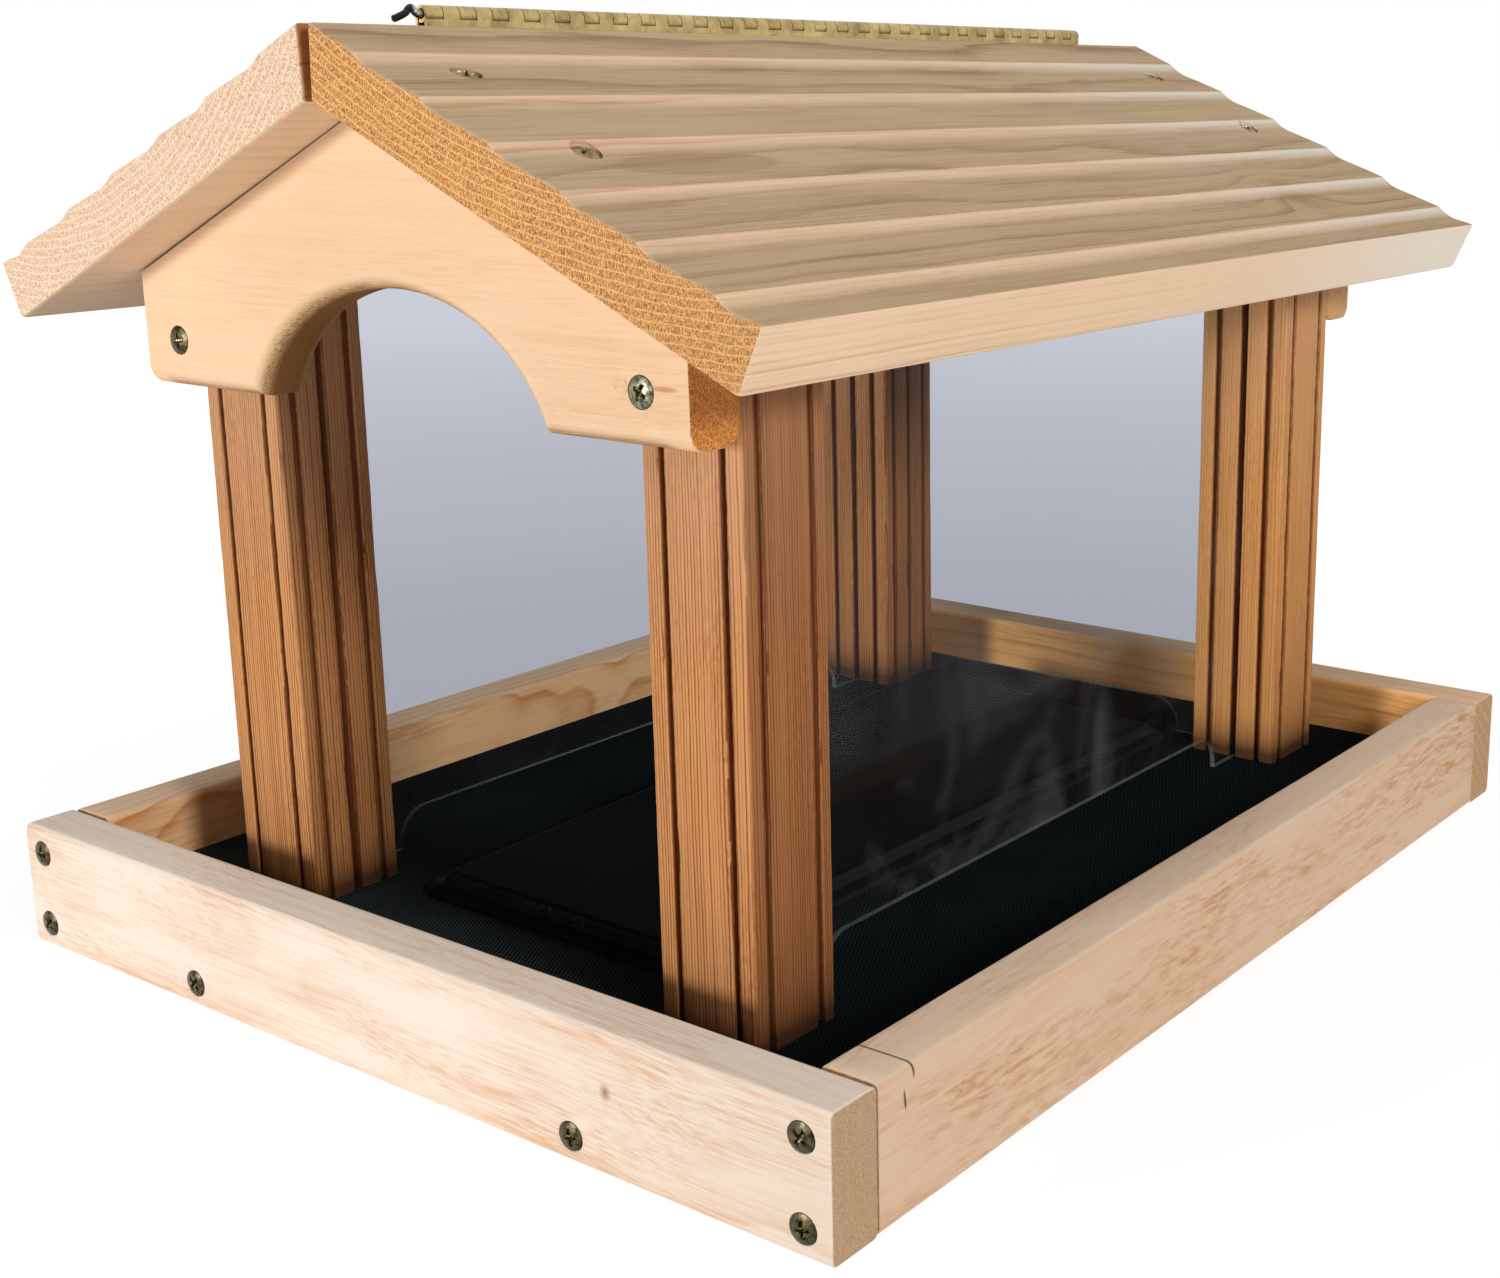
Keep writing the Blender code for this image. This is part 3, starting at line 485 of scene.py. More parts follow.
for seed, (end, side, pale, dark, figure) in enumerate((
    ("front", "left", (0.62, 0.30, 0.115), (0.25, 0.068, 0.018), 1.7),
    ("front", "right", (0.63, 0.30, 0.115), (0.25, 0.068, 0.018), 1.7),
    ("back", "left", (0.50, 0.225, 0.080), (0.20, 0.052, 0.013), 1.4),
    ("back", "right", (0.73, 0.36, 0.125), (0.46, 0.165, 0.042), 1.0),
)):
    sx, sy = (-1 if side == "left" else 1), (-1 if end == "front" else 1)
    rings = []
    for k in range(POST_ROWS + 1):
        z = POST_Z + (POST_TOP - POST_Z) * k / POST_ROWS
        rings.append([(x, y, z) for x, y in post_section(sx, sy, z, seed * 17.0, sx * POST_X, sy * POST_Y)])
    wood = cedar(f"red cedar post {end} {side}", 2, (sx * POST_X + 62.0, sy * POST_Y - 58.0 - 6 * seed), 0.95,
                 pale, dark, (0.42, 0.2, 0.08), (0.2, 0.08, 0.03), 31.0 + 3 * seed,
                 figure=figure, streak=0.45, patch=0.25, wander=1.5, slow=0.002, flecks=(0.25, 1.8, 0.45, 0.08),
                 relief=0.8)
    in_x, in_y = wood.mm[0] - sx * POST_X, wood.mm[1] - sy * POST_Y
    in_x, in_y = abs(in_x) - POST_W / 2, abs(in_y) - POST_D / 2
    depth = in_x.work("MAXIMUM", in_y)
    place = wood.place()
    ragged = wood.clouds(place, 420.0, 3.0)
    # The flutes and slots are painted darker and redder, with ragged edges: painted shade in the recesses.
    groove_painted_shade = (depth + ragged * 1.4).fade(0.35, -0.6)
    # The feet are painted nearly black up to about 46 mm: a painted shadow cast by the rails.
    foot = wood.mm[2].fade(46.0, 25.0)
    # Right faces are painted darker and redder, most on the front right post: painted shade on that side.
    right = wood.split(wood.normal).fade(0.5, 0.9)
    faded = wood.mix(wood.mm[2].fade(130.0, 225.0) * 0.4, wood.colour, (0.56, 0.38, 0.26))
    right_face_painted_shade = wood.mix(right * (0.55 if seed == 1 else 0.15), faded, (0.17, 0.045, 0.012))
    cut = wood.mix(groove_painted_shade * 0.8, right_face_painted_shade, (0.22, 0.065, 0.018))
    wood.feed(Base_Color=wood.mix(foot * foot * 0.93, cut, (0.045, 0.015, 0.006)))
    made(f"post_{end}_{side}_fluted", *lofted(rings), wood.material, "feeder", "cedar_post",
         [f"post_{end}_{side}"], crease=38)

# Panes: clear plastic sheet slid into the posts' slots, with a low round-cornered port left along the floor for the
# seed. The cut edges catch the light, and handling has left dusty smears.
PANE_T, PANE_TOP, PORT_H, PORT_LEG, PORT_R, PANE_ENTER = 2.0, 237.6, 13.8, 16.5, 12.0, 6.8
PORT_STEPS = 14
side_in, end_in = POST_Y - POST_D / 2, POST_X - POST_W / 2


def clear_sheet(name, smear, seed):
    """See-through sheet with a weak gloss on its outer side and a dusty film low down."""
    f = Finish(name, Base_Color=(0.9, 0.92, 0.93, 1), Roughness=0.04, Specular_IOR_Level=0.5, IOR=1.49)
    place = f.place()
    vector = f.node("VectorMath", {"operation": "ADD"}, {0: place, 1: (seed, 0, 0)})
    big = f.clouds(vector, 17.0, 4.0, 0.62, 0.8)
    fine = f.clouds(vector, 170.0, 4.0, 0.75)
    height = f.split(place).out(2)
    dusty = big.fade(0.50, 0.80) * (fine * 0.6 + 0.4) + fine.fade(0.70, 0.76) * 0.4
    dusty = dusty * height.fade(0.14, 0.03) * smear
    gloss = f.node("Fresnel", {}, {"IOR": 1.45}) * (0.16 - f.node("NewGeometry", {}, {}, out=6) * 0.16)
    through = f.node("BsdfTransparent", {}, {0: (0.985, 0.99, 0.99)})
    film = f.node("BsdfDiffuse", {}, {0: (0.62, 0.62, 0.64)})
    mirror = f.node("BsdfGlossy", {}, {0: (1, 1, 1), "Roughness": 0.03})
    lit = f.node("MixShader", {}, {0: gloss, 1: through, 2: mirror})
    both = f.node("MixShader", {}, {0: dusty + 0.004, 1: lit, 2: film})
    f.tree.links.new(both.socket, f.tree.nodes["Material Output"].inputs["Surface"])
    return f.material


cut_edge = Finish(
    "cut pane edge", Base_Color=(0.45, 0.50, 0.51, 1), Roughness=0.35, Alpha=0.2, Specular_IOR_Level=0.3).material


def pane_outline(half_span, half_port):
    """A pane's outline: along, and up from the base."""
    points = [(-half_span, POST_Z), (-half_port, POST_Z)]
    for first, sign in ((180, -1), (90, 1)):
        for k in range(PORT_STEPS + 1):
            a = math.radians(first - 90 * k / PORT_STEPS)
            across, up = sign * (half_port - PORT_R), POST_Z + PORT_H - PORT_R
            points.append((across + PORT_R * math.cos(a), up + PORT_R * math.sin(a)))
    return points + [(half_port, POST_Z), (half_span, POST_Z), (half_span, PANE_TOP), (-half_span, PANE_TOP)]


for name, across, at, half_span, half_port, smear in (
    ("pane_left", 0, -POST_X, side_in + PANE_ENTER, side_in - PORT_LEG, 0.03),
    ("pane_right", 0, POST_X, side_in + PANE_ENTER, side_in - PORT_LEG, 0.15),
    ("pane_back", 1, POST_Y, end_in + PANE_ENTER, end_in - PORT_LEG, 0.02),
):
    rings = []
    for d in (-PANE_T / 2, PANE_T / 2):
        outline = pane_outline(half_span, half_port)
        rings.append([(at + d, a, z) if across == 0 else (a, at + d, z) for a, z in outline])
    clear = clear_sheet("clear " + name.replace("_", " "), smear, at / 100)
    pane = made(name + "_sheet", *lofted(rings), clear, "feeder", "clear_pane", [name], crease=20)
    pane.data.materials.append(cut_edge)
    for face in pane.data.polygons:
        face.material_index = 0 if abs(face.normal[across]) > 0.9 else 1

# Gables: two five-sided cedar boards with an arch, grain level, the arch and the lower edges rounded over with a
# router. They stand against the posts' outer faces, screwed to them, and carry the roof.
ROOF_ANGLE, PEAK_Z, GABLE_T, GABLE_HALF_W, GABLE_H = math.radians(24.3), 285.4, 19.1, 116.4, 88.2
ARCH_HALF_W, ARCH_DROP, ARCH_RISE, ARCH_STEPS, GABLE_ROUND = 63.2, 12.7, 48.3, 64, 5.5
GABLE_Y = POST_Y + POST_D / 2 + 0.3
gable_low = PEAK_Z - GABLE_H
arch_mid = gable_low - ARCH_DROP


def gable_ring(off):
    """The gable's outline, its arch and lower edges cut back by off."""
    drop = 0.38
    shoulder = PEAK_Z - drop - GABLE_HALF_W * math.tan(ROOF_ANGLE)
    bottom = gable_low + off
    ease = 0.8 * off / GABLE_ROUND
    foot = math.asin((gable_low - arch_mid) / ARCH_RISE)
    arch = []
    for k in range(ARCH_STEPS + 1):
        a = math.pi - foot - (math.pi - 2 * foot) * k / ARCH_STEPS
        nx, nz = math.cos(a) / ARCH_HALF_W, math.sin(a) / ARCH_RISE
        size = math.hypot(nx, nz)
        across, up = ARCH_HALF_W * math.cos(a) + off * nx / size, arch_mid + ARCH_RISE * math.sin(a) + off * nz / size
        arch.append((across, max(up, bottom)))
    reach = ARCH_HALF_W * math.cos(foot) + off
    arch[0], arch[-1] = (-reach, bottom), (reach, bottom)
    half = GABLE_HALF_W - ease
    left = [(-half, shoulder - 0.2), (-half, (shoulder + bottom) / 2)]
    left += [(-half, bottom + 1.2), (-half + 0.35, bottom + 0.35), (-half + 1.2, bottom)]
    return left + arch + [(-x, z) for x, z in reversed(left)] + [(0, PEAK_Z - drop)]


quarter = [math.radians(12.857 * k) for k in range(8)]
round_over = [(GABLE_ROUND * (1 - math.cos(a)), GABLE_ROUND * (1 - math.sin(a))) for a in quarter]
round_over += [(GABLE_T - d, off) for d, off in reversed(round_over)]
for node, sign, pith, sawn, seed in (
    ("gable_front", -1, (-100.0, 330.0), ((0.90, 0.40, 0.105), (0.30, 0.072, 0.013)), 41.0),
    ("gable_back", 1, (120.0, 260.0), ((0.80, 0.50, 0.24), (0.52, 0.27, 0.10)), 47.0),
):
    rings = [[(x, sign * (GABLE_Y + GABLE_T - d), z) for x, z in gable_ring(off)] for d, off in round_over]
    wood = cedar("cedar " + node.replace("_", " "), 0, pith, 6.5, (0.86, 0.60, 0.39), (0.70, 0.38, 0.19), *sawn, seed,
                 figure=0.16, streak=0.20, patch=0.30, wander=5.0, flecks=(0.03, 1.6, 0.3, 0.1),
                 end_rows=0.3, end_from=0.45, relief=0.5)
    in_arch = abs(wood.mm[0]).fade(110.0, 105.0)
    feathered = wood.mix(wood.torn_ends, (0.70, 0.46, 0.23), (0.26, 0.12, 0.045))
    turned = wood.split(wood.normal).out(1)
    turned = abs(turned)
    # The arch's soffit is painted darker inside: painted shade under the arch.
    soffit_painted_shade = wood.mix(turned.fade(0.45, 0.05), feathered, (0.28, 0.125, 0.04))
    colour = wood.mix(in_arch, wood.colour, wood.mix(turned.fade(0.97, 0.6), wood.side, soffit_painted_shade))
    if sign < 0:
        off_x, off_z = (wood.mm[0] - 92.3) / 2.6, (wood.mm[2] - 213.2) / 1.5
        lifted = off_x * off_x + off_z * off_z
        place = wood.place()
        broken = wood.clouds(place, 700.0).fade(0.42, 0.58)
        lifted = abs(lifted - 1).fade(0.6, 0.15) * broken
        off_x, off_z = (wood.mm[0] - 107.0) / 5.5, (wood.mm[2] - 213.4) / 0.9
        split_line = (off_x * off_x + off_z * off_z).fade(1.0, 0.3)
        colour = wood.mix(lifted * 0.75 + split_line * 0.6, colour, (0.48, 0.19, 0.08))
    wood.feed(Base_Color=colour)
    made(node + "_board", *lofted(rings), wood.material, "feeder", "cedar_rail", [node], crease=30)

# Roof boards: two wide cedar boards moulded with six laps, so that each looks like a row of shingle courses, and
# left with sawn ends. The right one is screwed to the gables; the left one opens.
BOARD_T, EAVE_T, COVE_DEPTH, COVE_LEN = 19.3, 19.2, 1.4, 7.5
COURSES, COURSE_FIRST, COURSE_PITCH, ROOF_ROWS = 6, 17.05, 27.3, 120
ROOF_L, SLOPE_L, RIDGE_LEAN, BARREL_R, LEAF_T = 431.0, 165.7, math.radians(3.2), 2.45, 0.9
PIN_Z = PEAK_Z + (BOARD_T + 0.3 + BARREL_R - LEAF_T) / math.cos(ROOF_ANGLE)


def slope_point(s, t, side):
    """A point of the roof's section: s down the slope from the peak, t out from the underside."""
    c, sn = math.cos(ROOF_ANGLE), math.sin(ROOF_ANGLE)
    return side * (s * c + t * sn), PEAK_Z - s * sn + t * c


def ridge_cut(t):
    """Slope distance of a board's ridge cut at a thickness; a hinge leaf hangs along it."""
    off = BARREL_R + 0.3 - (PIN_Z - PEAK_Z) * math.sin(RIDGE_LEAN)
    return (off - t * math.sin(ROOF_ANGLE - RIDGE_LEAN)) / math.cos(ROOF_ANGLE - RIDGE_LEAN)


def lap_section(y, side, seed):
    """Slope and thickness pairs round the board: flats that end in a crisp edge and a shallow cove."""
    start = ridge_cut(BOARD_T)
    pairs = [(ridge_cut(0.0), 0.0), (ridge_cut(BOARD_T - 0.3), BOARD_T - 0.3), (start + 0.3, BOARD_T)]
    for k in range(COURSES):
        wander = noise.noise(Vector((y * 0.02, k * 7.0 + seed, side))) * 0.3
        begin = COURSE_FIRST + COURSE_PITCH * k - COVE_LEN / 2 + wander
        sunk = COVE_DEPTH if k else 0.0
        for m in (0.2, 0.4, 0.6, 0.8):
            pairs.append((start + (begin - start) * m, BOARD_T - sunk * (1 - m) ** 1.2))
        pairs += [(begin - 0.25, BOARD_T), (begin + 0.15, BOARD_T - 0.08)]
        for w in (0.08, 0.16, 0.27, 0.4, 0.55, 0.75, 1.0):
            pairs.append((begin + COVE_LEN * w, BOARD_T - COVE_DEPTH * (1 - (1 - w) ** 2)))
        start = begin + COVE_LEN
    for m in (0.3, 0.6, 0.85):
        sunk = (EAVE_T - BOARD_T + COVE_DEPTH) * (1 - m) ** 1.2
        pairs.append((start + (SLOPE_L - 0.5 - start) * m, EAVE_T - sunk))
    pairs += [(SLOPE_L - 0.5, EAVE_T), (SLOPE_L - 0.12, EAVE_T - 0.12), (SLOPE_L, EAVE_T - 0.5)]
    return pairs + [(SLOPE_L, 9.0), (SLOPE_L, 1.4), (SLOPE_L - 0.4, 0.4), (SLOPE_L - 1.4, 0.0), (SLOPE_L / 2, 0.0)]


roofs = {
    "roof_fixed": (1, "feeder", cedar(
        "cedar right roof board", 1, (150.0, 530.0), 2.4,
        (0.61, 0.445, 0.27), (0.28, 0.155, 0.066), (0.92, 0.52, 0.20), (0.25, 0.072, 0.014), 61.0,
        figure=0.55, streak=0.50, patch=0.25, wander=4.0, slow=0.004, flecks=(0.015, 1.0, 0.3, 0.12),
        knots=((124.3, 123.1, 251.0, 5.5), (-125.0, 84.7, 268.3, 0.6)), relief=0.4, end_rows=0.85)),
    "roof_flap": (-1, "roof_half", cedar(
        "cedar left roof board", 1, (-140.0, 380.0), 2.5,
        (0.66, 0.50, 0.32), (0.30, 0.17, 0.08), (1.0, 0.85, 0.66), (0.52, 0.24, 0.11), 67.0,
        figure=0.8, streak=0.45, patch=0.22, wander=3.0, slow=0.003, relief=0.4, end_rows=0.55)),
}
for node, (side, body, wood) in roofs.items():
    ends = [-ROOF_L / 2 + d for d in (0.0, 0.5, 1.2)]
    stations = ends + [-ROOF_L / 2 + 1.2 + (ROOF_L - 2.4) * k / ROOF_ROWS for k in range(1, ROOF_ROWS)]
    stations += [-y for y in reversed(ends)]
    rings = []
    for y in stations:
        inset = 0.45 if abs(y) > ROOF_L / 2 - 0.1 else 0.12 if abs(y) > ROOF_L / 2 - 0.8 else 0.0
        ring = []
        for s, t in lap_section(y, side, 5.0 if side > 0 else 55.0):
            s += inset if s < 5 else (-inset if s > SLOPE_L - 3 else 0)
            t += inset if t < 1 else (-inset if t > 10 else 0)
            x, z = slope_point(s, t, side)
            ring.append((x, y, z))
        rings.append(ring)
    # Coves, the eave and the undersides are painted a paler milled tone by the way they face: partly fresher milled
    # wood, partly a painted highlight from the lamps and the floor below.
    down = (side * math.cos(ROOF_ANGLE), 0, -math.sin(ROOF_ANGLE))
    slope = wood.node("VectorMath", {"operation": "DOT_PRODUCT"}, {0: wood.normal, 1: down}, out=1)
    sawn = wood.split(wood.normal)
    milled_and_painted_light = wood.mix(wood.mm[1].fade(20.0, 190.0), (0.82, 0.60, 0.405), (0.83, 0.75, 0.64))
    grained = wood.shade.fade(0.0, 1.0) * wood.mm[1].fade(120.0, -220.0) * (1.0 if side > 0 else 0.45)
    fresh_with_painted_light_and_shade = wood.mix(grained, milled_and_painted_light, (0.56, 0.31, 0.15))
    # Painted shade: the left board is painted darker towards its low edge.
    fresh_with_painted_light_and_shade = wood.mix(wood.mm[0].fade(-95.0, -150.0) * 0.35, fresh_with_painted_light_and_shade, (0.30, 0.25, 0.20))
    across, along = (wood.mm[0] - 83.0) / 7.0, (wood.mm[1] + 152.0) / 33.0
    stain = (across * across + along * along).fade(1.1, 0.85) * 0.45
    across, along = (wood.mm[0] - 124.0) / 13.0, (wood.mm[1] - 128.0) / 24.0
    halo = (across * across + along * along).fade(1.0, 0.0) * 0.5
    stain = (stain + wood.mm[0].fade(75.0, 150.0) * 0.18 + halo) * (1.0 if side > 0 else 0.0)
    flats = wood.mix(stain, wood.colour, (0.40, 0.25, 0.12))
    colour = wood.mix(slope.fade(0.04, 0.30) + sawn.out(2).fade(-0.3, -0.7), flats, fresh_with_painted_light_and_shade)
    # The plumb ridge cut is painted dark red-brown: painted shade in the gap between the boards.
    ridge = wood.mix(wood.shade.fade(0.0, 1.0), (0.46, 0.19, 0.065), (0.28, 0.09, 0.025))
    wood.feed(Base_Color=wood.mix((sawn * -side).fade(0.90, 0.97), colour, ridge))
    made(node + "_board", *lofted(rings), wood.material, body, "cedar_roof", [node], crease=24)

# Ridge hinge: a long brass-plated piano hinge, its knuckles rolled round one wire pin. The leaves hang in the gap
# between the two boards and the pin's front end is bent over so that it can't slide out.
LEAF_REACH, HINGE_FROM, HINGE_TO, KNUCKLES, KNUCKLE_GAP = 10.5, -175.0, 168.5, 56, 0.15
CURL, OUTER_STEPS, INNER_STEPS = 300, 24, 18
bore = BARREL_R - LEAF_T
brass = Finish("brass hinge strip", Metallic=0.85, Roughness=0.45)
place = brass.place()
tarnish = brass.clouds(place, 140.0, 4.0, 0.7)
stretched = brass.node("VectorMath", {"operation": "MULTIPLY"}, {0: place, 1: (2500.0, 60.0, 2500.0)})
brushed = brass.clouds(stretched, 1.0, 2.0)
brass.feed(
    Base_Color=brass.mix(tarnish.fade(0.35, 0.70), (0.60, 0.46, 0.20), (0.28, 0.20, 0.08)),
    Roughness=tarnish * 0.3 + brushed * 0.15 + 0.2,
    Normal=brass.raised(brushed, 0.15, 0.1),
)


def leaf_section():
    """Depth below the pin and distance off its middle plane: the rolled knuckle first, then the flat."""
    outer = [math.radians(-90 - CURL * k / OUTER_STEPS) for k in range(OUTER_STEPS + 1)]
    inner = [math.radians(-90 - CURL + CURL * k / INNER_STEPS) for k in range(INNER_STEPS + 1)]
    curl = [(1.3, BARREL_R)] + [(BARREL_R * math.cos(a), -BARREL_R * math.sin(a)) for a in outer]
    curl += [(bore * math.cos(a), -bore * math.sin(a)) for a in inner] + [(2.05, bore)]
    flat = [(LEAF_REACH - 0.2, bore), (LEAF_REACH, bore + 0.2)]
    return curl, flat + [(LEAF_REACH, BARREL_R - 0.2), (LEAF_REACH - 0.2, BARREL_R)]


def hinge_leaf(side, mine):
    """One leaf: the flat all along, and every second knuckle from number mine on."""
    curl, flat = leaf_section()
    section = []
    for down, off in curl + flat:
        c, s = math.cos(RIDGE_LEAN), math.sin(RIDGE_LEAN)
        section.append((side * (off * c - down * s), PIN_Z - down * c - off * s))
    n, m = len(section), len(curl)
    pitch = (HINGE_TO - HINGE_FROM) / KNUCKLES
    cuts, whole = [HINGE_FROM], []
    for k in range(mine, KNUCKLES, 2):
        start = HINGE_FROM + pitch * k + (KNUCKLE_GAP if k else 0)
        stop = HINGE_FROM + pitch * (k + 1) - (KNUCKLE_GAP if k < KNUCKLES - 1 else 0)
        if start > cuts[-1]:
            cuts.append(start)
            whole.append(False)
        cuts.append(stop)
        whole.append(True)
    if cuts[-1] < HINGE_TO:
        cuts.append(HINGE_TO)
        whole.append(False)
    plain = [0] + list(range(m - 1, n))
    verts = [(x, y, z) for y in cuts for x, z in section]
    faces = []
    for k, full in enumerate(whole):
        loop = list(range(n)) if full else plain
        faces += [(k * n + a, k * n + b, (k + 1) * n + b, (k + 1) * n + a) for a, b in zip(loop, loop[1:] + loop[:1])]
        if k == 0:
            faces.append(tuple(loop)[::-1])
        elif full != whole[k - 1]:
            faces.append(tuple(k * n + i for i in range(m)))
    last = len(cuts) - 1
    faces.append(tuple(last * n + i for i in (list(range(n)) if whole[-1] else plain)))
    used = sorted({i for f in faces for i in f})
    order = {old: new for new, old in enumerate(used)}
    return [verts[i] for i in used], [tuple(order[i] for i in f) for f in faces]


made("hinge_leaf_fixed_strip", *hinge_leaf(1, 1), brass.material, "feeder", "brass_hinge",
     ["hinge_leaf_fixed"], crease=30)
made("hinge_leaf_flap_strip", *hinge_leaf(-1, 0), brass.material, "roof_half", "brass_hinge",
     ["hinge_leaf_flap"], crease=30)

wire = Finish("drawn pin wire", Metallic=1.0, Roughness=0.28)
place = wire.place()
mottle = wire.clouds(place, 420.0, 3.0)
# The bent front end of the pin is painted near black: painted shade.
bend = wire.split(place).out(1).fade(-0.1775, -0.1790)
drawn = wire.mix(mottle.fade(0.35, 0.7), (0.62, 0.64, 0.68), (0.08, 0.08, 0.09))
wire.feed(Base_Color=wire.mix(bend, drawn, (0.020, 0.019, 0.018)), Roughness=mottle * 0.3 + 0.12)
PIN_R, PIN_BACK, PIN_STRAIGHT, BENT_FROM, BENT_THIN = 1.2, 169.1, 345.4, 26, 0.85
PIN_SIDES = 16
pin_knots = [(PIN_BACK, 0), (-176.3, 0), (-177.3, 0.7), (-178.2, 1.6)]
pin_knots += [(-179.3, 1.2), (-180.4, 0.1), (-182.4, -0.8), (-184.6, -1.6)]
pin_line = pin_knots[:1] + [(PIN_BACK - PIN_STRAIGHT * k / 20, 0.0) for k in range(1, 20)]


def spline(a, b, c, d, w):
    """Between b and c, a share w of the way."""
    square, cube = 2 * a - 5 * b + 4 * c - d, 3 * b - a - 3 * c + d
    return 0.5 * (2 * b + (c - a) * w + square * w * w + cube * w ** 3)


for k in range(1, len(pin_knots) - 1):
    near = [pin_knots[min(max(m, 1), len(pin_knots) - 1)] for m in range(k - 1, k + 3)]
    for m in range(5):
        pin_line.append(tuple(spline(*(knot[i] for knot in near), m / 5) for i in (0, 1)))
pin_line.append(pin_knots[-1])
pin_rings = []
for k, (y, rise) in enumerate(pin_line):
    before, after = pin_line[max(k - 1, 0)], pin_line[min(k + 1, len(pin_line) - 1)]
    along = Vector((0, after[0] - before[0], after[1] - before[1])).normalized()
    over = Vector((1, 0, 0)).cross(along)
    radius = PIN_R if k < BENT_FROM else PIN_R * BENT_THIN
    pin_rings.append([])
    for a in (math.tau * i / PIN_SIDES for i in range(PIN_SIDES)):
        out = Vector((1, 0, 0)) * math.cos(a) + over * math.sin(a)
        pin_rings[-1].append(Vector((0, y, PIN_Z + rise)) + out * radius)
made("hinge_pin_wire", *lofted(pin_rings), wire.material, "feeder", "steel_wire", ["hinge_pin"], crease=50)

# Screws: countersunk cross-head wood screws, driven until their low domed heads sit just in the wood. Most are dark
# bronze; those at the gables' right ends are a greyer zinc and those in the roof brassy.
HEAD_R, SHANK_R, SCREW_L, HEAD_CONE, HEAD_DOME = 4.25, 1.9, 32.0, 3.1, 0.9
CROSS_L, CROSS_W, CROSS_DEPTH, CLEAR = 5.0, 1.25, 1.9, 0.35
HEAD_SIDES, HEAD_CIRCLES, BORE_SIDES = 56, 22, 40


def screw_finish(name, low, high, cross):
    f = Finish(name, Metallic=1.0, Roughness=0.32)
    place = f.place()
    patina = f.clouds(place, 520.0, 4.0, 0.7)
    wear = f.clouds(place, 1400.0, 2.0)
    hollow = f.node("NewGeometry", {}, {}, out=7)
    tint = f.mix(patina.fade(0.38, 0.66), low, high)
    f.feed(
        # The cross recess takes the cross colour; the gold on the bronze and zinc heads is a painted glint.
        Base_Color=f.mix(hollow.fade(0.49, 0.40), tint, cross),
        Roughness=patina * 0.25 + wear * 0.2 + 0.14,
        Normal=f.raised(wear, 0.12, 0.1),
    )
    return f.material


bronze = screw_finish("dark bronze screw", (0.018, 0.017, 0.010), (0.13, 0.11, 0.060), (0.80, 0.58, 0.20))
zinc = screw_finish("yellow zinc screw", (0.06, 0.065, 0.045), (0.36, 0.36, 0.25), (0.90, 0.60, 0.18))
brassy = screw_finish("brassy screw", (0.10, 0.07, 0.03), (0.42, 0.30, 0.13), (0.08, 0.05, 0.02))


def head_height(x, y):
    """The dome less its cross recess, at a point of the head."""
    dome = HEAD_DOME * (1 - (math.hypot(x, y) / HEAD_R) ** 2.2)
    arm = min(max(abs(x) - CROSS_W / 2, abs(y) - CROSS_L / 2), max(abs(y) - CROSS_W / 2, abs(x) - CROSS_L / 2))
    bevel = min(max(-arm / 0.34, 0), 1)
    slant = 1 - 0.55 * max(abs(x), abs(y)) / (CROSS_L / 2)
    return dome - CROSS_DEPTH * bevel * max(slant, 0.35)


def screw_body(place, way, turn):
    """A screw whose head's rim is at place, driven along way, its cross turned by turn."""
    up = -way
    side_a = up.orthogonal().normalized()
    side_b = up.cross(side_a)
    angles = [math.tau * k / HEAD_SIDES for k in range(HEAD_SIDES)]
    rows = []
    for c in range(1, HEAD_CIRCLES + 1):
        r = HEAD_R * c / HEAD_CIRCLES
        circle = [(r * math.cos(a), r * math.sin(a)) for a in angles]
        rows.append([(x, y, head_height(x, y) if c < HEAD_CIRCLES else 0.0) for x, y in circle])
    for r, drop in ((HEAD_R, 0.25), (SHANK_R, HEAD_CONE), (SHANK_R, SCREW_L - 3), (0.3, SCREW_L)):
        rows.append([(r * math.cos(a), r * math.sin(a), -drop) for a in angles])
    ct, st = math.cos(turn), math.sin(turn)
    rings = []
    for row in rows:
        rings.append([place + side_a * (x * ct - y * st) + side_b * (x * st + y * ct) + up * h for x, y, h in row])
    verts, faces = lofted(rings)
    faces = [f for f in faces if len(f) == 4] + [faces[-1]]
    middle = len(verts)
    verts.append(place + up * head_height(0, 0))
    return verts, faces + [(middle, (k + 1) % HEAD_SIDES, k) for k in range(HEAD_SIDES)]


def bored(piece, places):
    """Countersinks a board for its screws' heads."""
    verts, faces = [], []
    angles = [math.tau * k / BORE_SIDES for k in range(BORE_SIDES)]
    for place, way in places:
        up = -way
        side_a = up.orthogonal().normalized()
        side_b = up.cross(side_a)
        rings = []
        for r, h in ((HEAD_R + CLEAR, 7.0), (HEAD_R + CLEAR, -0.1), (SHANK_R + 0.6, -HEAD_CONE - 0.5)):
            rim = [side_a * math.cos(a) + side_b * math.sin(a) for a in angles]
            rings.append([place + out * r + up * h for out in rim])
        v, f = lofted([ring[::-1] for ring in rings])
        faces += [tuple(len(verts) + i for i in one) for one in f]
        verts += v
    tool = bpy.data.objects.new("countersink", closed_mesh("countersink", verts, faces))
    bpy.context.scene.collection.objects.link(tool)
    modifier = piece.modifiers.new("countersinks", "BOOLEAN")
    modifier.object, modifier.solver, modifier.operation = tool, "EXACT", "DIFFERENCE"
    drilled = bpy.data.meshes.new_from_object(piece.evaluated_get(bpy.context.evaluated_depsgraph_get()))
    piece.modifiers.clear()
    drilled.set_sharp_from_angle(angle=math.radians(30))
    piece.data = drilled
    level = piece.modifiers.new("flat faces", "WEIGHTED_NORMAL")
    level.keep_sharp = True
    bpy.data.objects.remove(tool)


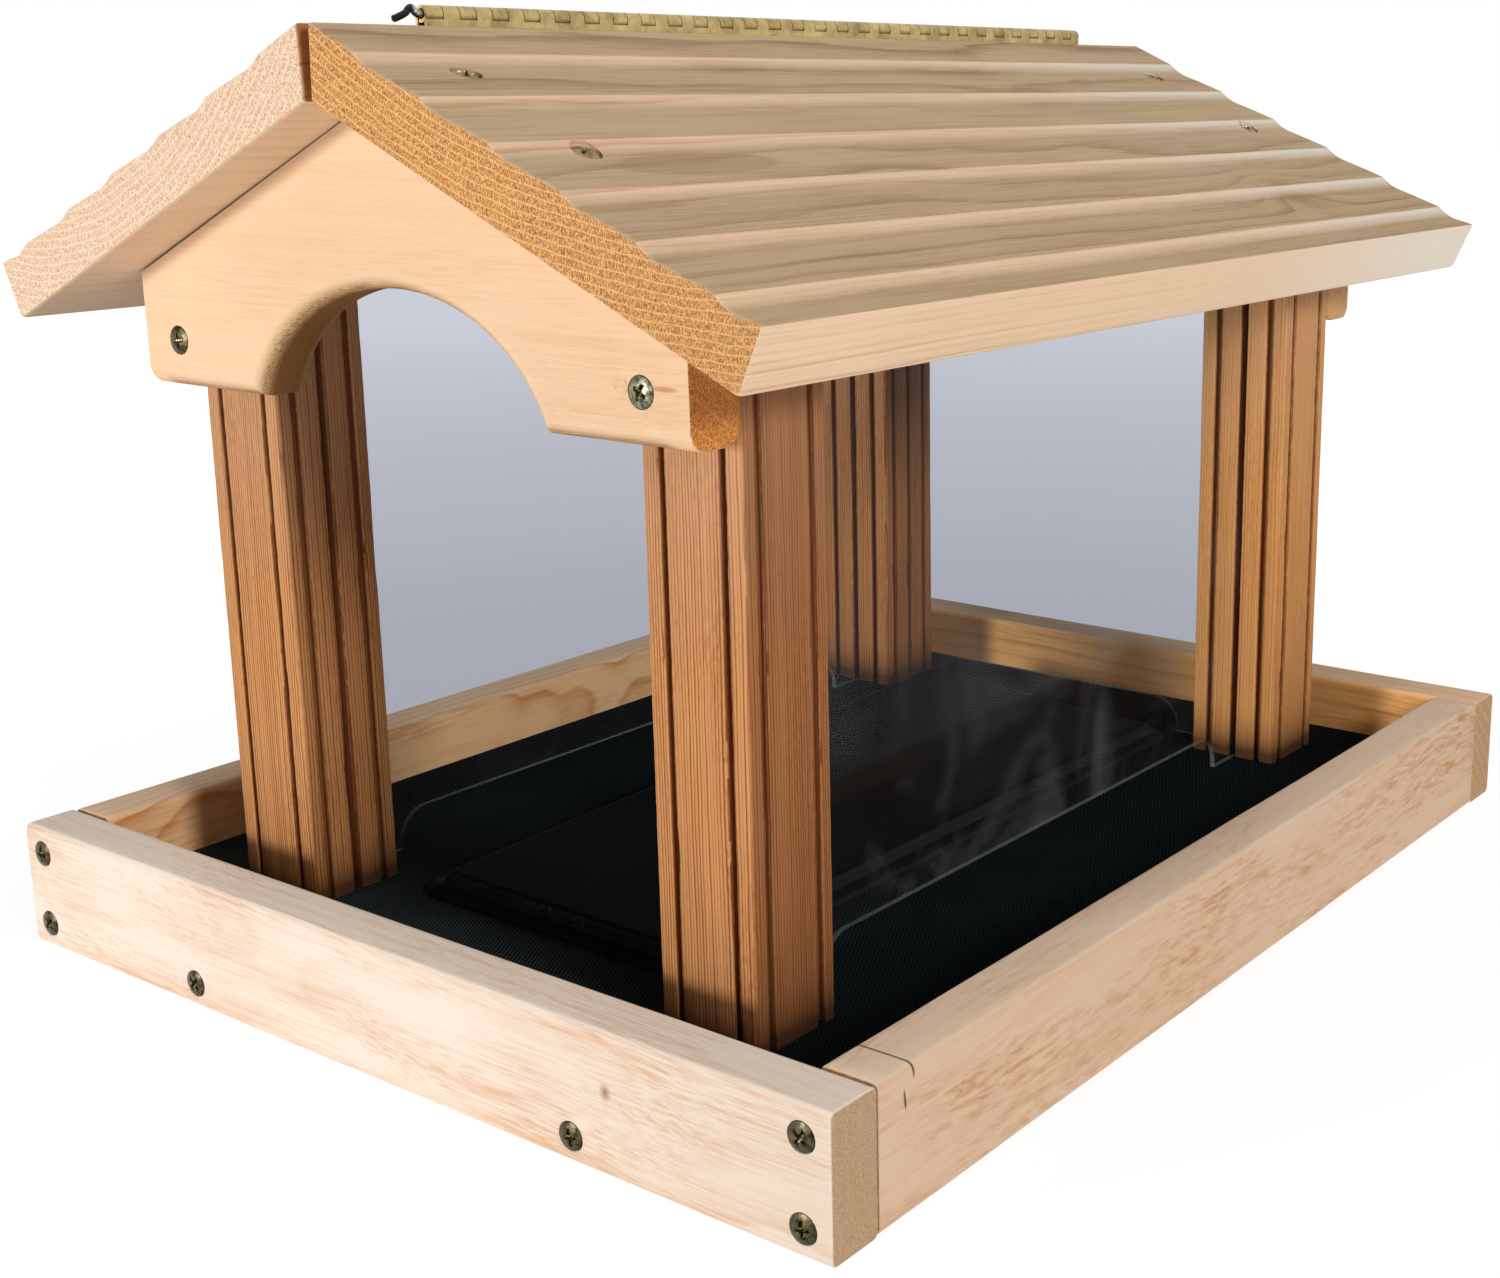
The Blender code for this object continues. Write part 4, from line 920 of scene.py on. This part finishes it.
down_slope = Vector((-math.sin(ROOF_ANGLE), 0, -math.cos(ROOF_ANGLE)))
upward = Vector((0, 0, 1))
RAIL_SCREW_X, RAIL_SCREW_Y, BEARER_SCREW_X, BEARER_SCREW_Z = 168.0, 219.0, 85.3, 8.0
GABLE_SCREW_X, GABLE_SCREW_Z, FOOT_SCREW_Z, ROOF_SCREW_SINK = 99.0, 212.0, 0.9, 1.9
screws = []
for end, sy in (("front", -1), ("back", 1)):
    inward = Vector((0, -sy, 0))
    for side, sx in (("left", -1), ("right", 1)):
        for height, z in (("low", 8.5), ("high", 34.0)):
            place = Vector((sx * RAIL_SCREW_X, sy * RAIL_SCREW_Y, z))
            screws.append((f"screw_{end}_rail_{side}_{height}", place, inward, f"{end}_rail_board"))
        place = Vector((sx * BEARER_SCREW_X, sy * RAIL_SCREW_Y, BEARER_SCREW_Z))
        screws.append((f"screw_{end}_bearer_{side}", place, inward, f"{end}_rail_board"))
        place = Vector((sx * GABLE_SCREW_X, sy * (GABLE_Y + GABLE_T), GABLE_SCREW_Z))
        screws.append((f"screw_{end}_gable_{side}", place, inward, f"gable_{end}_board"))
        place = Vector((sx * POST_X, sy * POST_Y, FOOT_SCREW_Z))
        screws.append((f"screw_{end}_foot_{side}", place, upward, f"bearer_{side}_board"))
    for height, s in (("high", 23.5), ("low", 72.2)):
        x, z = slope_point(s, BOARD_T - ROOF_SCREW_SINK, 1)
        place = Vector((x, sy * (GABLE_Y + GABLE_T / 2), z))
        screws.append((f"screw_{end}_roof_{height}", place, down_slope, "roof_fixed_board"))
bores = {}
for k, (node, place, way, board) in enumerate(screws):
    verts, faces = screw_body(place, way, math.radians(k * 47 % 90))
    finish = brassy if "roof" in board else zinc if node.endswith("gable_right") else bronze
    made(node + "_head", verts, faces, finish, "feeder", "screw_metal", [node], crease=28)
    bores.setdefault(board, []).append((place, way))
for board, places in bores.items():
    bored(bpy.data.objects[board], places)

# Stage: a pale floor and a white surround that look white to the camera and in reflections, and cool grey where a
# clear pane stands in front of them. Two low soft lamps light the two sides that the camera sees, and a weaker
# one the top.
floor = bpy.data.objects.new("studio_floor", bpy.data.meshes.new("studio_floor"))
FLOOR_HALF = 9
corners = [(x * FLOOR_HALF, y * FLOOR_HALF, 0) for x, y in ((-1, -1), (1, -1), (1, 1), (-1, 1))]
floor.data.from_pydata(corners, [], [(0, 1, 2, 3)])
bpy.context.scene.collection.objects.link(floor)


def rays(finish):
    """Whether the camera sees a point, straight or by gloss or glass, and whether a pane stands before it."""
    path = finish.node("LightPath", {}, {})
    seen = (path.out("Is Camera Ray") + path.out("Is Glossy Ray") + path.out("Is Transmission Ray")).fade(0, 1)
    return seen, path.out("Transparent Depth").fade(0.4, 0.6)


paper = Finish("studio floor")
seen, behind_pane = rays(paper)
spot = paper.place()
away = paper.node("VectorMath", {"operation": "LENGTH"}, {0: spot}, out=1)
wall_tone = paper.mix(away.fade(0.5, 1.9), (0.40, 0.41, 0.47), (0.57, 0.585, 0.655))
shade_colour = paper.mix(behind_pane, (1.0, 1.0, 1.0), wall_tone)
# The floor glows for every ray, not only the camera's, so it also lights the feeder from below as painted bounce
# light.
glow = paper.node("Emission", {}, {0: shade_colour, "Strength": 1.08})
matt = paper.node("BsdfDiffuse", {}, {0: paper.mix(behind_pane, (0.9, 0.9, 0.9), (0.42, 0.44, 0.49))})
lit_share = seen * (away.fade(0.2, 0.6) * 0.2 + 0.8)
surface = paper.node("MixShader", {}, {0: lit_share.work("MAXIMUM", 0.3), 1: matt, 2: glow})
paper.tree.links.new(surface.socket, paper.tree.nodes["Material Output"].inputs["Surface"])
floor.data.materials.append(paper.material)

world = bpy.data.worlds.new("studio")
bpy.context.scene.world = world
world.use_nodes = True
air = Finish.__new__(Finish)
air.tree = world.node_tree
seen, behind_pane = rays(air)
white_or_grey = air.mix(behind_pane, (1.0, 1.0, 1.0), (0.47, 0.49, 0.55))
sky = air.mix(seen, (0.15, 0.15, 0.16), white_or_grey)
air.tree.links.new(sky.socket, world.node_tree.nodes["Background"].inputs["Color"])

LAMP_TARGET = Vector((0, 0, 0.14))


def lamp(name, place, size, watts, colour=(1, 1, 1)):
    """A round soft lamp that faces the feeder's middle."""
    data = bpy.data.lights.new(name, "AREA")
    data.shape, data.size, data.energy, data.color = "DISK", size, watts, colour
    light = bpy.data.objects.new(name, data)
    bpy.context.scene.collection.objects.link(light)
    aim = (LAMP_TARGET - Vector(place)).to_track_quat("-Z", "Y")
    light.matrix_world = Matrix.Translation(place) @ aim.to_matrix().to_4x4()


lamp("key lamp", (-0.62, -1.80, 0.33), 0.36, 20.0, (1.0, 0.98, 0.95))
lamp("side lamp", (1.75, -0.50, 0.85), 0.45, 18.5, (1.0, 0.97, 0.93))
lamp("top lamp", (0.3, -0.3, 2.1), 0.9, 8.6)

bpy.context.scene.view_settings.view_transform = "Standard"
